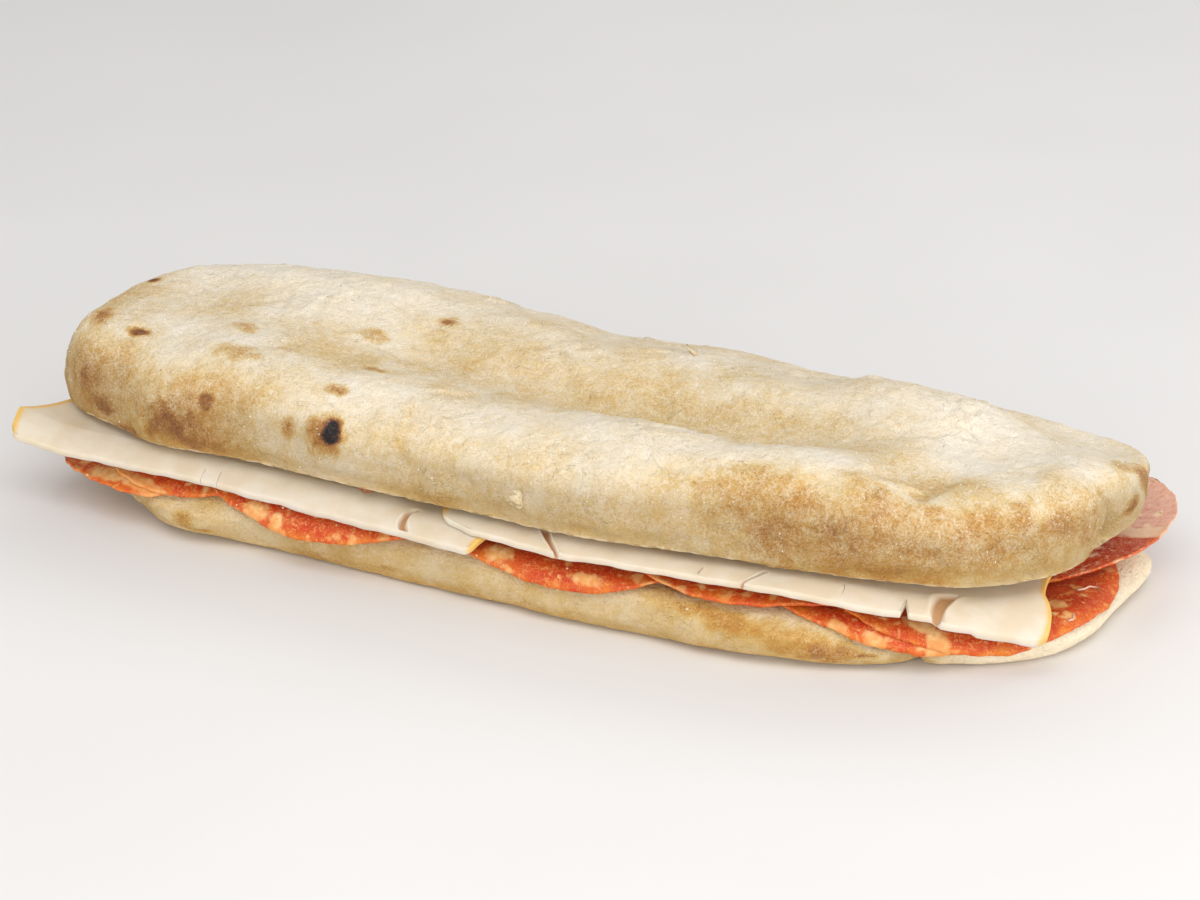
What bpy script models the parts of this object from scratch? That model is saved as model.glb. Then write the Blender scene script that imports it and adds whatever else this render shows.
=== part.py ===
# Filled flatbread sandwich: two floury bread halves with slices of spicy salami
# and two long slices of mild cheese between them. Metres, +Z up, +X along the bread,
# -Y the side where the filling hangs out. The origin is under the middle, on the table.
import math

import bmesh
import bpy
import numpy as np
from mathutils import Matrix, Vector, noise

MM = 0.001

# Plan of the bread: a superellipse with one squarer corner at the back on the right,
# sheared so that its two ends turn opposite ways.
HALF_LENGTH = 143 * MM
HALF_WIDTH = 48.5 * MM
PLAN_POWER = 3.0
SQUARE_POWER = 4.2
END_TURN = 13 * MM

# Bottom half: a flat bed with a round rim, lower towards the right end.
BED_Z = 13.3 * MM
RIM_RADIUS = 6 * MM
RIM_CENTRE_Z = BED_Z - RIM_RADIUS
UNDER_RADIUS = 5.2 * MM
BED_DROP = 4.5 * MM
DROP_START, DROP_END = 74 * MM, 128 * MM

# Filling: thin sheets at fixed steps above the bed, bent down past the rim.
BED_GAP = 0.6 * MM
SALAMI_THICK = 0.75 * MM
SALAMI_STEP = 1.1 * MM
SALAMI_LEVELS = 5
CHEESE_THICK = 1.55 * MM
CHEESE_STEP = 1.9 * MM
CHEESE_BASE = BED_GAP + SALAMI_LEVELS * SALAMI_STEP
SLOPE_LEFT, SLOPE_MIDDLE, SLOPE_RIGHT = (math.radians(angle) for angle in (20, 54, 76))
CURL_RADIUS = 34 * MM
TIP_START, TIP_LENGTH, TIP_LIFT = -120 * MM, 22 * MM, 2.5 * MM

# Top half: cut face, widest line and shoulder heights.
CUT_Z = BED_Z + CHEESE_BASE + 2 * CHEESE_STEP + 0.2 * MM
WIDEST_Z = 32 * MM
SHOULDER_Z = 47.5 * MM
SHOULDER_INSET = 15 * MM
LIP_INSET = 3.5 * MM

# Lines along which every sheet is divided, in mm: close together where the sheets bend.
BEND_Y = (HALF_WIDTH - RIM_RADIUS) / MM
RIM_LINES = [BEND_Y + 2.3 * i for i in range(7)]
ALONG_LINES = [14.0 * i for i in range(9)]
END_LINES = [105, 118, 123, 127, 130.5, 133.5, 136, 138.4, 140.8, 143.2, 145.6, 148, 150.4]
CORNER_LINES = [20, 24, 28, 31.5, 34.7, 37.5, 40]
CORNER_START = 70 * MM
CROSS_LINES = [0, 7, 14]
CROSS_START = 112 * MM

# The cut face of the top half follows this much of the bed's drop and is a little hollow.
LIP_DROP_SHARE = 0.45
CUT_HOLLOW = 1.2 * MM

# Reliefs of the front wall grow between these two lines in front of the middle.
FRONT_START, FRONT_END = 10 * MM, 34 * MM

# Share of a box face given to the plateau, and cells across the rim.
PLATEAU_SHARE = 0.75
RIM_CELLS = 2


def clear_scene():
    for old in list(bpy.data.objects):
        bpy.data.objects.remove(old, do_unlink=True)


def new_collection(name):
    collection = bpy.data.collections.new(name)
    bpy.context.scene.collection.children.link(collection)
    return collection


def material(name, colour, roughness):
    made = bpy.data.materials.new(name)
    made.use_nodes = True
    shader = made.node_tree.nodes["Principled BSDF"]
    shader.inputs["Base Color"].default_value = (*colour, 1)
    shader.inputs["Roughness"].default_value = roughness
    shader.inputs["Metallic"].default_value = 0
    made.diffuse_color = (*colour, 1)
    return made


def smooth_step(low, high, value):
    share = min(1.0, max(0.0, (value - low) / (high - low)))
    return share * share * (3 - 2 * share)


def bell(x, y, centre_x, centre_y, reach_x, reach_y):
    """1 at the centre of an oval spot, falling to nothing around it."""
    return math.exp(-(((x - centre_x) / reach_x) ** 2) - ((y - centre_y) / reach_y) ** 2)


def turn_ends(point):
    """The shear that turns the left end forwards and the right end back."""
    return Vector((point.x, point.y + END_TURN * (point.x / HALF_LENGTH) ** 3, point.z))


def signed_power(value, power):
    return math.copysign(abs(value) ** power, value)


def plan_power(x, y):
    return SQUARE_POWER if x > 0 and y > 0 else PLAN_POWER


def square_to_plan(u, v):
    """A point of the square -1..1 moved into the unit superellipse, and its level there."""
    n = plan_power(u, v)
    x = u * (1 - abs(v) ** n / 2) ** (1 / n)
    y = v * (1 - abs(u) ** n / 2) ** (1 / n)
    level = (abs(x) ** n + abs(y) ** n) ** (1 / n)
    return x, y, level


def plan_normal(x, y, half_length, half_width):
    """Outward unit normal of a superellipse at the unit point (x, y)."""
    n = plan_power(x, y) - 1
    normal = Vector((signed_power(x, n) / half_length, signed_power(y, n) / half_width, 0))
    return normal.normalized()


def cut_places(cells):
    """Where a box face is cut: even cells over the plateau, RIM_CELLS more at each side."""
    inner = cells - 2 * RIM_CELLS
    places = [PLATEAU_SHARE * (2 * i / inner - 1) for i in range(inner + 1)]
    for i in range(1, RIM_CELLS):
        edge = PLATEAU_SHARE + (1 - PLATEAU_SHARE) * i / RIM_CELLS
        places += [edge, -edge]
    return places


def box_grid(cells_x, cells_y, cells_z):
    """A two-unit cube cut into cells."""
    bm = bmesh.new()
    bmesh.ops.create_cube(bm, size=2)
    heights = [2 * i / cells_z - 1 for i in range(1, cells_z)]
    for axis, places in enumerate((cut_places(cells_x), cut_places(cells_y), heights)):
        normal = Vector((0, 0, 0))
        normal[axis] = 1
        for place in places:
            everything = bm.verts[:] + bm.edges[:] + bm.faces[:]
            bmesh.ops.bisect_plane(bm, geom=everything, plane_co=normal * place, plane_no=normal)
    return bm


def arc(share, start, end):
    """Cosine and sine of an angle that goes from start to end degrees."""
    angle = math.radians(start + (end - start) * share)
    return math.cos(angle), math.sin(angle)


def pillow_point(corner, sizes):
    """A point of the two-unit cube moved onto a flat-topped pillow.

    sizes holds the top and under heights, the widest height and the two rim insets.
    """
    top_z, widest_z, under_z, top_inset, under_inset = sizes
    x, y, level = square_to_plan(corner.x, corner.y)
    level = max(level, 1e-9)
    upper = corner.z > 0
    on_face = abs(corner.z) > 1 - 1e-6
    inset = top_inset if upper else under_inset
    height = (top_z if upper else under_z) - widest_z
    if on_face and level < PLATEAU_SHARE:
        out, rise = arc(0, 90, 90)
        shrink = level / PLATEAU_SHARE
    elif on_face:
        out, rise = arc((level - PLATEAU_SHARE) / (1 - PLATEAU_SHARE), 90, 45)
        shrink = 1
    else:
        out, rise = arc(abs(corner.z), 0, 45)
        shrink = 1
    unit_x, unit_y = x / level, y / level
    normal = plan_normal(unit_x, unit_y, HALF_LENGTH, HALF_WIDTH)
    rim = Vector((unit_x * HALF_LENGTH, unit_y * HALF_WIDTH, 0)) - normal * inset * (1 - out)
    return Vector((rim.x * shrink, rim.y * shrink, widest_z + height * rise)), out


def pillow(name, cells, sizes, relief, collection, finish):
    """A bread half: a cut-up cube moved onto a pillow and given its relief."""
    bm = box_grid(*cells)
    for vert in bm.verts:
        upper = vert.co.z > 0
        point, out = pillow_point(vert.co, sizes)
        vert.co = turn_ends(relief(point, out, upper))
    return mesh_object(name, bm, collection, finish)


def mesh_object(name, bm, collection, finish):
    mesh = bpy.data.meshes.new(name)
    bmesh.ops.recalc_face_normals(bm, faces=bm.faces)
    bm.to_mesh(mesh)
    bm.free()
    mesh.shade_smooth()
    made = bpy.data.objects.new(name, mesh)
    made.data.materials.append(finish)
    collection.objects.link(made)
    return made


def outwards(point):
    """Unit vector straight out from the middle of the bread, in plan."""
    away = Vector((point.x / HALF_LENGTH**2, point.y / HALF_WIDTH**2, 0))
    return away.normalized() if away.length > 1e-6 else away


def front_share(y):
    """1 on the front wall, nothing behind the middle."""
    return smooth_step(FRONT_START, FRONT_END, -y)


def swell(x, places):
    """Sum of swellings along the bread, each a place, reach and height in mm."""
    return sum(height * math.exp(-(((x - centre) / reach) ** 2)) for centre, reach, height in places)


def lumps(point, size, height, seed):
    """Soft uneven lumps of a given size."""
    place = Vector((point.x / size, point.y / size, point.z / size + seed))
    return height * noise.noise(place)


# Crust features in the bread's own plan: x, y, reach along x and y, and height in mm.
TOP_FEATURES = (
    (22, -6, 70, 11, -7.5),
    (38, -12, 32, 8, -3.5),
    (-92, 20, 46, 22, 5.0),
    (-104, -14, 34, 18, 3.0),
    (-24, 22, 40, 10, 0.6),
    (-64, 26, 18, 16, 1.8),
    (80, 20, 26, 12, 2.5),
    (58, 24, 8, 16, -2.0),
    (30, 38, 110, 13, -6.0),
    (126, 34, 30, 16, -3.0),
    (101, -20, 7, 6, -5.0),
    (60, -28, 40, 9, 1.5),
    (-50, -29, 40, 9, 1.5),
    (126, 0, 22, 30, -2.5),
    (70, 26, 10, 10, 2.0),
    (136, 32, 28, 26, -9.5),
)

# Bulges of the crust's side wall: x, reach, depth in mm, on the front side.
FRONT_BULGES = (
    (-92, 9, 3.2),
    (-112, 9, -2.2),
    (-35, 30, 0.8),
    (14, 22, 2.4),
    (72, 26, -2.0),
    (112, 12, 2.0),
)

# The fold in the crust near the right end: place, reach and depth.
FOLD_X, FOLD_Y, FOLD_LENGTH, FOLD_REACH = 138 * MM, -4 * MM, 14 * MM, 5 * MM
FOLD_DEPTH = 4.0 * MM

# The top half is a little shorter than the bottom at the left end.
LEFT_INSET = 2.5 * MM

# The lip of the cut crust rises and dips along the front: x, reach, height in mm.
LIP_WAVES = (
    (-118, 12, 1.0),
    (-99, 6, -2.2),
    (-60, 14, 1.9),
    (-36, 12, 0.7),
    (14, 13, -0.9),
    (54, 15, 2.6),
    (96, 10, 1.8),
    (141, 8, 3.5),
)


def top_relief(point, out, upper):
    """Ridges, hollow and folds of the top half."""
    x, y = point.x / MM, point.y / MM
    lift = sum(h * bell(x, y, cx, cy, rx, ry) for cx, cy, rx, ry, h in TOP_FEATURES)
    lift *= MM * smooth_step(WIDEST_Z, SHOULDER_Z, point.z) if upper else 0
    side = lumps(point, 30 * MM, 2.4 * MM, 3.0) + lumps(point, 13 * MM, 0.9 * MM, 9.0)
    front = front_share(point.y)
    push = side * (0.4 + 0.6 * out) + front * swell(x, FRONT_BULGES) * MM * out
    fold = bell(point.x, point.y, FOLD_X, FOLD_Y, FOLD_LENGTH, FOLD_REACH)
    push -= FOLD_DEPTH * fold * out
    push -= LEFT_INSET * smooth_step(-100 * MM, -135 * MM, point.x)
    moved = point + outwards(point) * push * out
    if upper:
        moved.z += lift + side * smooth_step(WIDEST_Z, SHOULDER_Z, point.z)
    else:
        wave = front * swell(x, LIP_WAVES) * MM * smooth_step(0.1, 0.6, out)
        low = smooth_step(WIDEST_Z, CUT_Z, point.z)
        hollow = CUT_HOLLOW * (1 - smooth_step(0, 0.4, out))
        moved.z += low * (wave + hollow - LIP_DROP_SHARE * bed_drop(point.x))
    return moved


# Bulges of the bottom half's wall at the front: x, reach, depth in mm.
BOTTOM_BULGES = (
    (-115, 9, -5.0),
    (-91, 11, 9.0),
    (-56, 8, 1.2),
    (18, 10, 2.0),
    (63, 12, 3.0),
    (84, 12, 4.5),
    (124, 12, -2.5),
)

# The foot of the bottom half stands out further at its back right corner: place, reach, depth.
CORNER_X, CORNER_Y, CORNER_REACH, CORNER_DEPTH = 138 * MM, 30 * MM, 18 * MM, 3.0 * MM

# Its whole height stands out there too, so that the corner is nearly square.
SQUARE_START, SQUARE_END, SQUARE_Y = 116 * MM, 134 * MM, 35 * MM
SQUARE_REACH, SQUARE_DEPTH = 11 * MM, 4.5 * MM

# The left end of the bottom half lifts off the table and is drawn in under the filling.
LIFT_START, LIFT_END, LIFT_HEIGHT = -88 * MM, -136 * MM, 7 * MM
TUCK_START, TUCK_END, TUCK_DEPTH = -98 * MM, -132 * MM, 6 * MM

# The pinch in the front of the bottom half, near its right end.
PINCH_X, PINCH_Y, PINCH_REACH, PINCH_LENGTH = 106 * MM, -40 * MM, 5.5 * MM, 12 * MM
PINCH_DEPTH = 7.5 * MM


def bottom_relief(point, out, upper):
    """Uneven side and underside of the bottom half, clear of the filling above it."""
    moved = point.copy()
    moved.z -= bed_drop(point.x) * smooth_step(0, BED_Z, point.z)
    below = smooth_step(BED_Z, RIM_CENTRE_Z, point.z) if upper else 1.0
    side = lumps(point, 26 * MM, 2.0 * MM, 21.0) - 0.6 * MM
    pinch = bell(point.x, point.y, PINCH_X, PINCH_Y, PINCH_REACH, PINCH_LENGTH)
    bulge = front_share(point.y) * swell(point.x / MM, BOTTOM_BULGES) * MM
    low = 1 - smooth_step(4 * MM, 11 * MM, point.z)
    corner = CORNER_DEPTH * bell(point.x, point.y, CORNER_X, CORNER_Y, CORNER_REACH, CORNER_REACH)
    push = min(side, 0) * below - PINCH_DEPTH * pinch + (bulge + corner) * low
    push -= TUCK_DEPTH * smooth_step(TUCK_START, TUCK_END, point.x) * low
    moved += outwards(point) * push * out
    square = math.exp(-(((point.y - SQUARE_Y) / SQUARE_REACH) ** 2))
    moved.x += SQUARE_DEPTH * square * smooth_step(SQUARE_START, SQUARE_END, point.x)
    if not upper:
        moved.z += 1.6 * MM * pinch * (1 - out)
        wave = max(0.0, lumps(point, 34 * MM, 3.0 * MM, 5.0))
        moved.z += wave * smooth_step(0.05, 0.7, out)
        moved.z += LIFT_HEIGHT * smooth_step(LIFT_START, LIFT_END, point.x)
    else:
        sink = lumps(point, 20 * MM, 0.5 * MM, 31.0) - 0.3 * MM
        moved.z += sink * (1 - out)
    return moved


def bed_drop(x):
    """How much lower the bed lies at this place along the bread."""
    return BED_DROP * smooth_step(DROP_START, DROP_END, x)


def rim_curve():
    """Points of the bread's outer rim in the flat plan."""
    points = []
    for i in range(1440):
        angle = 2 * math.pi * i / 1440
        x, y = math.cos(angle), math.sin(angle)
        n = plan_power(x, y)
        level = (abs(x) ** n + abs(y) ** n) ** (1 / n)
        points.append((HALF_LENGTH * x / level, HALF_WIDTH * y / level))
    return np.array(points)


RIM = rim_curve()


def nearest_on_rim(x, y):
    """Gap to the rim and its nearest point, on the two runs at its nearest sample."""
    here = np.array((x, y))
    i = int(np.hypot(*(RIM - here).T).argmin())
    found = []
    for j in (i - 1, i):
        start, end = RIM[j % len(RIM)], RIM[(j + 1) % len(RIM)]
        run = end - start
        share = min(1.0, max(0.0, float((here - start) @ run / (run @ run))))
        point = start + run * share
        found.append((float(np.hypot(*(here - point))), tuple(point)))
    return min(found)


def past_bend(x, y):
    """How far a flat point lies past the bend line, the line's nearest point, and the way out."""
    gap, found = nearest_on_rim(x, y)
    away = plan_normal(found[0] / HALF_LENGTH, found[1] / HALF_WIDTH, HALF_LENGTH, HALF_WIDTH)
    rim = Vector((*found, 0))
    side = 1 if (Vector((x, y, 0)) - rim).dot(away) > 0 else -1
    return side * gap + RIM_RADIUS, rim - away * RIM_RADIUS, away


def steepest(x):
    """The slope at which a sheet stops bending: nearly level at the left, steep at the right."""
    wave = math.radians(6) * math.sin(x / (11 * MM)) * math.cos(x / (29 * MM))
    left = SLOPE_MIDDLE - (SLOPE_MIDDLE - SLOPE_LEFT) * smooth_step(-76 * MM, -110 * MM, x)
    return left + (SLOPE_RIGHT - SLOPE_MIDDLE) * smooth_step(84 * MM, 116 * MM, x) + wave


def bent_down(base, away, overhang, height, limit):
    """A point past the bend line, carried round the rim and then straight on down."""
    radius = RIM_RADIUS + height
    angle = min(overhang / radius, limit)
    rest = max(0.0, overhang - radius * limit)
    out = radius * math.sin(angle) + rest * math.cos(limit)
    z = RIM_CENTRE_Z + radius * math.cos(angle) - rest * math.sin(limit)
    return Vector((base.x + away.x * out, base.y + away.y * out, z - bed_drop(base.x)))


def wrap_round_rim(x, y, height):
    """A point of a flat sheet laid on the bed and wrapped round the rim on every side."""
    overhang, base, away = past_bend(x, y)
    if overhang <= 0:
        return turn_ends(Vector((x, y, BED_Z + height - bed_drop(x))))
    return turn_ends(bent_down(base, away, overhang, height, steepest(base.x)))


def wrap_level(x, y, height):
    """The same for a slice that stands out past the rim and curls up a little."""
    overhang, base, away = past_bend(x, y)
    curl = max(0.0, overhang) ** 2 / (2 * CURL_RADIUS)
    return turn_ends(Vector((x, y, BED_Z + height - bed_drop(x) + curl)))


def wrap_over_front(x, y, height):
    """The same, bent down only along one straight line at the front, its left tip lifted."""
    line = -(HALF_WIDTH - RIM_RADIUS)
    lift = Vector((0, 0, TIP_LIFT * (max(0.0, TIP_START - x) / TIP_LENGTH) ** 2))
    if y >= line:
        return Vector((x, y, BED_Z + height - bed_drop(x))) + lift
    base = Vector((x, line, 0))
    return bent_down(base, Vector((0, -1, 0)), line - y, height, SLOPE_MIDDLE) + lift


def divide(bm, axis, places, start=0.0):
    """Cut a flat outline across one axis at places in mm on both sides of 0.

    Only the faces farther than start along the bread are cut.
    """
    normal = Vector((0, 0, 0))
    normal[axis] = 1
    for place in sorted({side * place for place in places for side in (-1, 1)}):
        faces = [face for face in bm.faces if abs(face.calc_center_median().x) >= start]
        edges = {edge for face in faces for edge in face.edges}
        verts = {vert for face in faces for vert in face.verts}
        geom = [*verts, *edges, *faces]
        bmesh.ops.bisect_plane(bm, geom=geom, plane_co=normal * place * MM, plane_no=normal)


def sheet(name, bm, base, thickness, wrap, collection, finish):
    """A flat outline made a thin slab, laid on the bed at a height and bent over its rim."""
    divide(bm, 0, ALONG_LINES)
    divide(bm, 1, RIM_LINES)
    if wrap is not wrap_over_front:
        divide(bm, 0, END_LINES)
        divide(bm, 1, CORNER_LINES, CORNER_START)
        divide(bm, 1, CROSS_LINES, CROSS_START)
    bmesh.ops.triangulate(bm, faces=bm.faces)
    slab = bmesh.ops.extrude_face_region(bm, geom=bm.faces[:])
    upper = {item for item in slab["geom"] if isinstance(item, bmesh.types.BMVert)}
    for vert in bm.verts:
        height = base + (thickness if vert in upper else 0)
        vert.co = wrap(vert.co.x, vert.co.y, height)
    return mesh_object(name, bm, collection, finish)


def salami_slice(name, centre, size, level, wrap, seed, collection, finish):
    """One slice: an oval disc with a slightly uneven edge, laid on the bed."""
    bm = bmesh.new()
    bmesh.ops.create_circle(bm, cap_ends=True, radius=1, segments=SALAMI_SIDES)
    for vert in bm.verts:
        angle = math.atan2(vert.co.y, vert.co.x)
        uneven = 1 + 0.012 * math.sin(3 * angle + seed) + 0.008 * math.sin(7 * angle + 2 * seed)
        vert.co = Vector((vert.co.x * size[0], vert.co.y * size[1], 0)) * uneven * MM
    bmesh.ops.translate(bm, verts=bm.verts, vec=(centre[0] * MM, centre[1] * MM, 0))
    base = BED_GAP + level * SALAMI_STEP
    return sheet(name, bm, base, SALAMI_THICK, wrap, collection, finish)


def rim_point(x, overhang):
    """A flat point in front of the bend line, a given overhang past its point at x."""
    unit_x = x / HALF_LENGTH
    unit_y = -((1 - abs(unit_x) ** PLAN_POWER) ** (1 / PLAN_POWER))
    normal = plan_normal(unit_x, unit_y, HALF_LENGTH, HALF_WIDTH)
    return Vector((x, unit_y * HALF_WIDTH, 0)) + normal * (overhang - RIM_RADIUS)


def straight_front(x, overhang):
    """The same past one straight line along the bread."""
    return Vector((x, -(HALF_WIDTH - RIM_RADIUS) - overhang, 0))


def cheese_slice(name, size, corners, hem, slant, level, front, wrap, collection, finish):
    """One long slice: its front edge hangs over, the rest is a rounded half-moon.

    size holds the left and right ends at the bend and the back, corners the two ends of the
    front edge, hem how far it hangs over along it, and slant how far the left end leans in.
    """
    left, right, back = (value * MM for value in size)
    low, high = (value * MM for value in corners)
    bm = bmesh.new()
    bmesh.ops.create_circle(bm, cap_ends=True, radius=1, segments=CHEESE_SIDES)
    for vert in bm.verts:
        angle = math.atan2(vert.co.y, vert.co.x)
        if angle < -1e-6:
            share = 1 + angle / math.pi
            x = (low + high) / 2 - (high - low) / 2 * math.cos(math.pi * share)
            edge = min(x - low, high - x) / CHEESE_CORNER
            rounding = 1 - max(0.0, 1 - edge) ** 2 * 0.3
            overhang = float(np.interp(x / MM, *zip(*hem)))
            vert.co = front(x, overhang * rounding * MM)
        else:
            out = signed_power(math.cos(angle), CHEESE_ARC)
            share = abs(math.sin(angle)) ** CHEESE_ARC
            x = (left + right) / 2 + (right - left) / 2 * out
            start = front(left if out < 0 else right, 0).y
            lean = slant * MM * (1 - math.exp(-share * (back - start) / CHEESE_LEAN))
            y = start + (back - start) * share
            vert.co = Vector((x + lean * (out < 0), y, 0))
    base = CHEESE_BASE + level * CHEESE_STEP
    return sheet(name, bm, base, CHEESE_THICK, wrap, collection, finish)


# Cheese slices: number of sides and the power that squares the half-moon.
CHEESE_SIDES = 64
CHEESE_ARC = 0.75
CHEESE_CORNER = 3 * MM
CHEESE_LEAN = 9 * MM

# How far each cheese slice hangs over its bend: x and overhang in mm.
LEFT_HEM = ((-142, 7.8), (-85, 7.2), (-50, 8.8), (-5, 10.3))
RIGHT_HEM = ((-15, 7.4), (60, 7.3), (108, 8.6), (122, 13.0), (133, 16.5))

# Salami slices: name, centre x and y, half length and half width in mm, level above the bed.
SALAMI_SIDES = 40
SALAMI_SLICES = (
    ("salami_front_1", (-103.3, -7.4), (37, 37), 0),
    ("salami_front_2", (-89.3, -8.7), (37, 37), 1),
    ("salami_front_3", (-49, -16.3), (46, 38), 2),
    ("salami_front_4", (15.5, -14), (47, 37.5), 1),
    ("salami_front_5", (61, -8.5), (47, 38), 2),
    ("salami_front_6", (95, -7.5), (44, 37.5), 0),
    ("salami_end_1", (106, -5), (37.3, 37.3), 1),
    ("salami_end_2", (111.5, 23.5), (36, 32), 5),
    ("salami_back_1", (-96, 14), (38, 38), 3),
    ("salami_back_2", (-34, 15), (40, 38), 4),
    ("salami_back_3", (33, 16), (40, 38), 3),
    ("salami_back_4", (76, 14), (37, 37), 4),
)
LEVEL_SLICE = "salami_end_2"
SALAMI_TURN = 1.7


def centre_over_origin(collection):
    """Move every mesh so that the middle of the whole box stands over the origin."""
    places = [vert.co for item in collection.objects for vert in item.data.vertices]
    middle = Vector((0, 0, 0))
    for axis in (0, 1):
        line = [place[axis] for place in places]
        middle[axis] = -(min(line) + max(line)) / 2
    for item in collection.objects:
        item.data.transform(Matrix.Translation(middle))


def main():
    clear_scene()
    parts = new_collection("salami_panini")
    crust = material("crust", (0.80, 0.64, 0.42), 0.85)
    meat = material("salami", (0.62, 0.10, 0.04), 0.4)
    curd = material("cheese", (0.88, 0.82, 0.66), 0.5)

    bottom_sizes = (BED_Z, RIM_CENTRE_Z, 0.0, RIM_RADIUS, UNDER_RADIUS)
    pillow("bread_bottom", (28, 12, 4), bottom_sizes, bottom_relief, parts, crust)
    top_sizes = (SHOULDER_Z, WIDEST_Z, CUT_Z, SHOULDER_INSET, LIP_INSET)
    pillow("bread_top", (36, 14, 6), top_sizes, top_relief, parts, crust)

    for i, (name, centre, size, level) in enumerate(SALAMI_SLICES):
        wrap = wrap_level if name == LEVEL_SLICE else wrap_round_rim
        salami_slice(name, centre, size, level, wrap, SALAMI_TURN * i, parts, meat)
    cheese_slice("cheese_left", (-143.5, -1, 46), (-142, -3), LEFT_HEM, 9, 0, straight_front,
                 wrap_over_front, parts, curd)
    cheese_slice("cheese_right", (-15, 133, 46), (-15, 133.4), RIGHT_HEM, 2, 1, rim_point,
                 wrap_round_rim, parts, curd)
    centre_over_origin(parts)


main()
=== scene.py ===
import math

import bmesh
import bpy
import numpy as np
from mathutils import Euler, Matrix, Vector
from mathutils.bvhtree import BVHTree


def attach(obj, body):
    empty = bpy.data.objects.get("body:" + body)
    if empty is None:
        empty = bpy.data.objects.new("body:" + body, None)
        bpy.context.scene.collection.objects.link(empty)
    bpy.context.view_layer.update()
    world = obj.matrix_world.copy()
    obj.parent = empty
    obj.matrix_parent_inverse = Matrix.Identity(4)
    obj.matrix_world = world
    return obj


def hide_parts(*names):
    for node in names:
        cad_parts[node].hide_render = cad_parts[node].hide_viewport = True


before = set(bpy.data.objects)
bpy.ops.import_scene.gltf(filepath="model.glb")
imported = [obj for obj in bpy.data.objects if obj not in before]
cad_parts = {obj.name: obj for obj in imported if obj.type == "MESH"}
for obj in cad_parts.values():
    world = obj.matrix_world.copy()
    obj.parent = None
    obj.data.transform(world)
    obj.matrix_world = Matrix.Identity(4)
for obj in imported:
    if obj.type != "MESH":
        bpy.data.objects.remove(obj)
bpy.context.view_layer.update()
print("frame loaded")

mm = 0.001
middle = np.array([-1.7265, -4.8225, 0.0])  # where the bread's own middle lies in the frame, mm


# helpers for points, all in mm in the bread's own frame

def toWorld(points):
    return (np.asarray(points, float) + middle) * mm


def toBread(points):
    return np.asarray(points, float) / mm - middle


def ease(low, high, value):
    t = np.clip((value - low) / (high - low), 0, 1)
    return t * t * (3 - 2 * t)


def rough(points, size, seed):
    # smooth random field, about -0.7 to 0.7, its lumps as large as size
    p = np.asarray(points, float) / size + seed * 17.31 + 4000
    cell = np.floor(p).astype(np.int64)
    f = p - cell
    u = f * f * f * (f * (f * 6 - 15) + 10)
    total = np.zeros(len(p))
    for corner in range(8):
        step = np.array([corner & 1, corner >> 1 & 1, corner >> 2 & 1])
        c = cell + step
        key = (c[:, 0] * 73856093) ^ (c[:, 1] * 19349663) ^ (c[:, 2] * 83492791)
        key = (key ^ (key >> 13)) * 1274126177 & 0xFFFFFFFF
        turn = (key & 0xFFFF) / 65536 * 2 * math.pi
        up = (key >> 16 & 0xFFFF) / 32768 - 1
        flat = np.sqrt(np.maximum(0, 1 - up * up))
        d = f - step
        dot = d[:, 0] * flat * np.cos(turn) + d[:, 1] * flat * np.sin(turn) + d[:, 2] * up
        weight = np.prod(np.where(step == 1, u, 1 - u), axis=1)
        total += dot * weight
    return total


def layers(points, size, seed, count=3):
    return sum(rough(points, size / 2 ** k, seed + k) / 2 ** k for k in range(count))


def apart(points, centre, reach=(1, 1, 1)):
    # distance from a place, counted in reaches along x, y and z
    return np.linalg.norm((points - np.array(centre)) / np.array(reach), axis=1)


def bell(distance, width=1.0):
    return np.exp(-(distance / width) ** 2)


def alongLine(points, start, end):
    # distance to a straight line between two places, and how far along it
    a, b = np.array(start, float), np.array(end, float)
    run = b - a
    t = np.clip(((points - a) @ run) / (run @ run), 0, 1)
    return np.linalg.norm(points - (a + t[:, None] * run), axis=1), t


def nearLine(points, start, end):
    return alongLine(points, start, end)[0]


def nearPath(points, path):
    return np.min([nearLine(points, a, b) for a, b in zip(path, path[1:])], axis=0)


# helpers for objects and materials

def addPiece(name, mesh, material, nodes=()):
    piece = bpy.data.objects.new(name, mesh)
    bpy.context.scene.collection.objects.link(piece)
    mesh.materials.clear()
    mesh.materials.append(material)
    mesh.shade_smooth()
    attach(piece, "root")
    if nodes:
        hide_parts(*nodes)
    return piece


def meshFrom(bm, name):
    mesh = bpy.data.meshes.new(name)
    bm.to_mesh(mesh)
    bm.free()
    return mesh


def once(items):
    # each item a single time, in the order in which they first come
    return list(dict.fromkeys(items))


def newVerts(grown):
    return [item for item in grown["geom"] if isinstance(item, bmesh.types.BMVert)]


def thickenSheet(bm, thick, bevel):
    # gives a flat sheet its thickness and eases its rims
    grown = bmesh.ops.extrude_face_region(bm, geom=bm.faces[:])
    bmesh.ops.translate(bm, verts=newVerts(grown), vec=(0, 0, thick))
    bmesh.ops.recalc_face_normals(bm, faces=bm.faces)
    rims = [e for e in bm.edges if len(e.link_faces) == 2 and e.calc_face_angle(0) > 1.0]
    bmesh.ops.bevel(bm, geom=rims, offset=bevel, affect="EDGES", segments=2, profile=0.5,
                    material=-1)


def surfaceOf(piece):
    return BVHTree.FromPolygons([v.co for v in piece.data.vertices],
                                [f.vertices for f in piece.data.polygons])


def getPoints(mesh):
    found = np.empty(len(mesh.vertices) * 3)
    mesh.vertices.foreach_get("co", found)
    return found.reshape(-1, 3)


def getNormals(mesh):
    found = np.empty(len(mesh.vertices) * 3, np.float32)
    mesh.vertices.foreach_get("normal", found)
    return found.reshape(-1, 3).astype(float)


def setPoints(mesh, points):
    mesh.vertices.foreach_set("co", np.asarray(points, np.float32).ravel())
    mesh.update()


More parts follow.
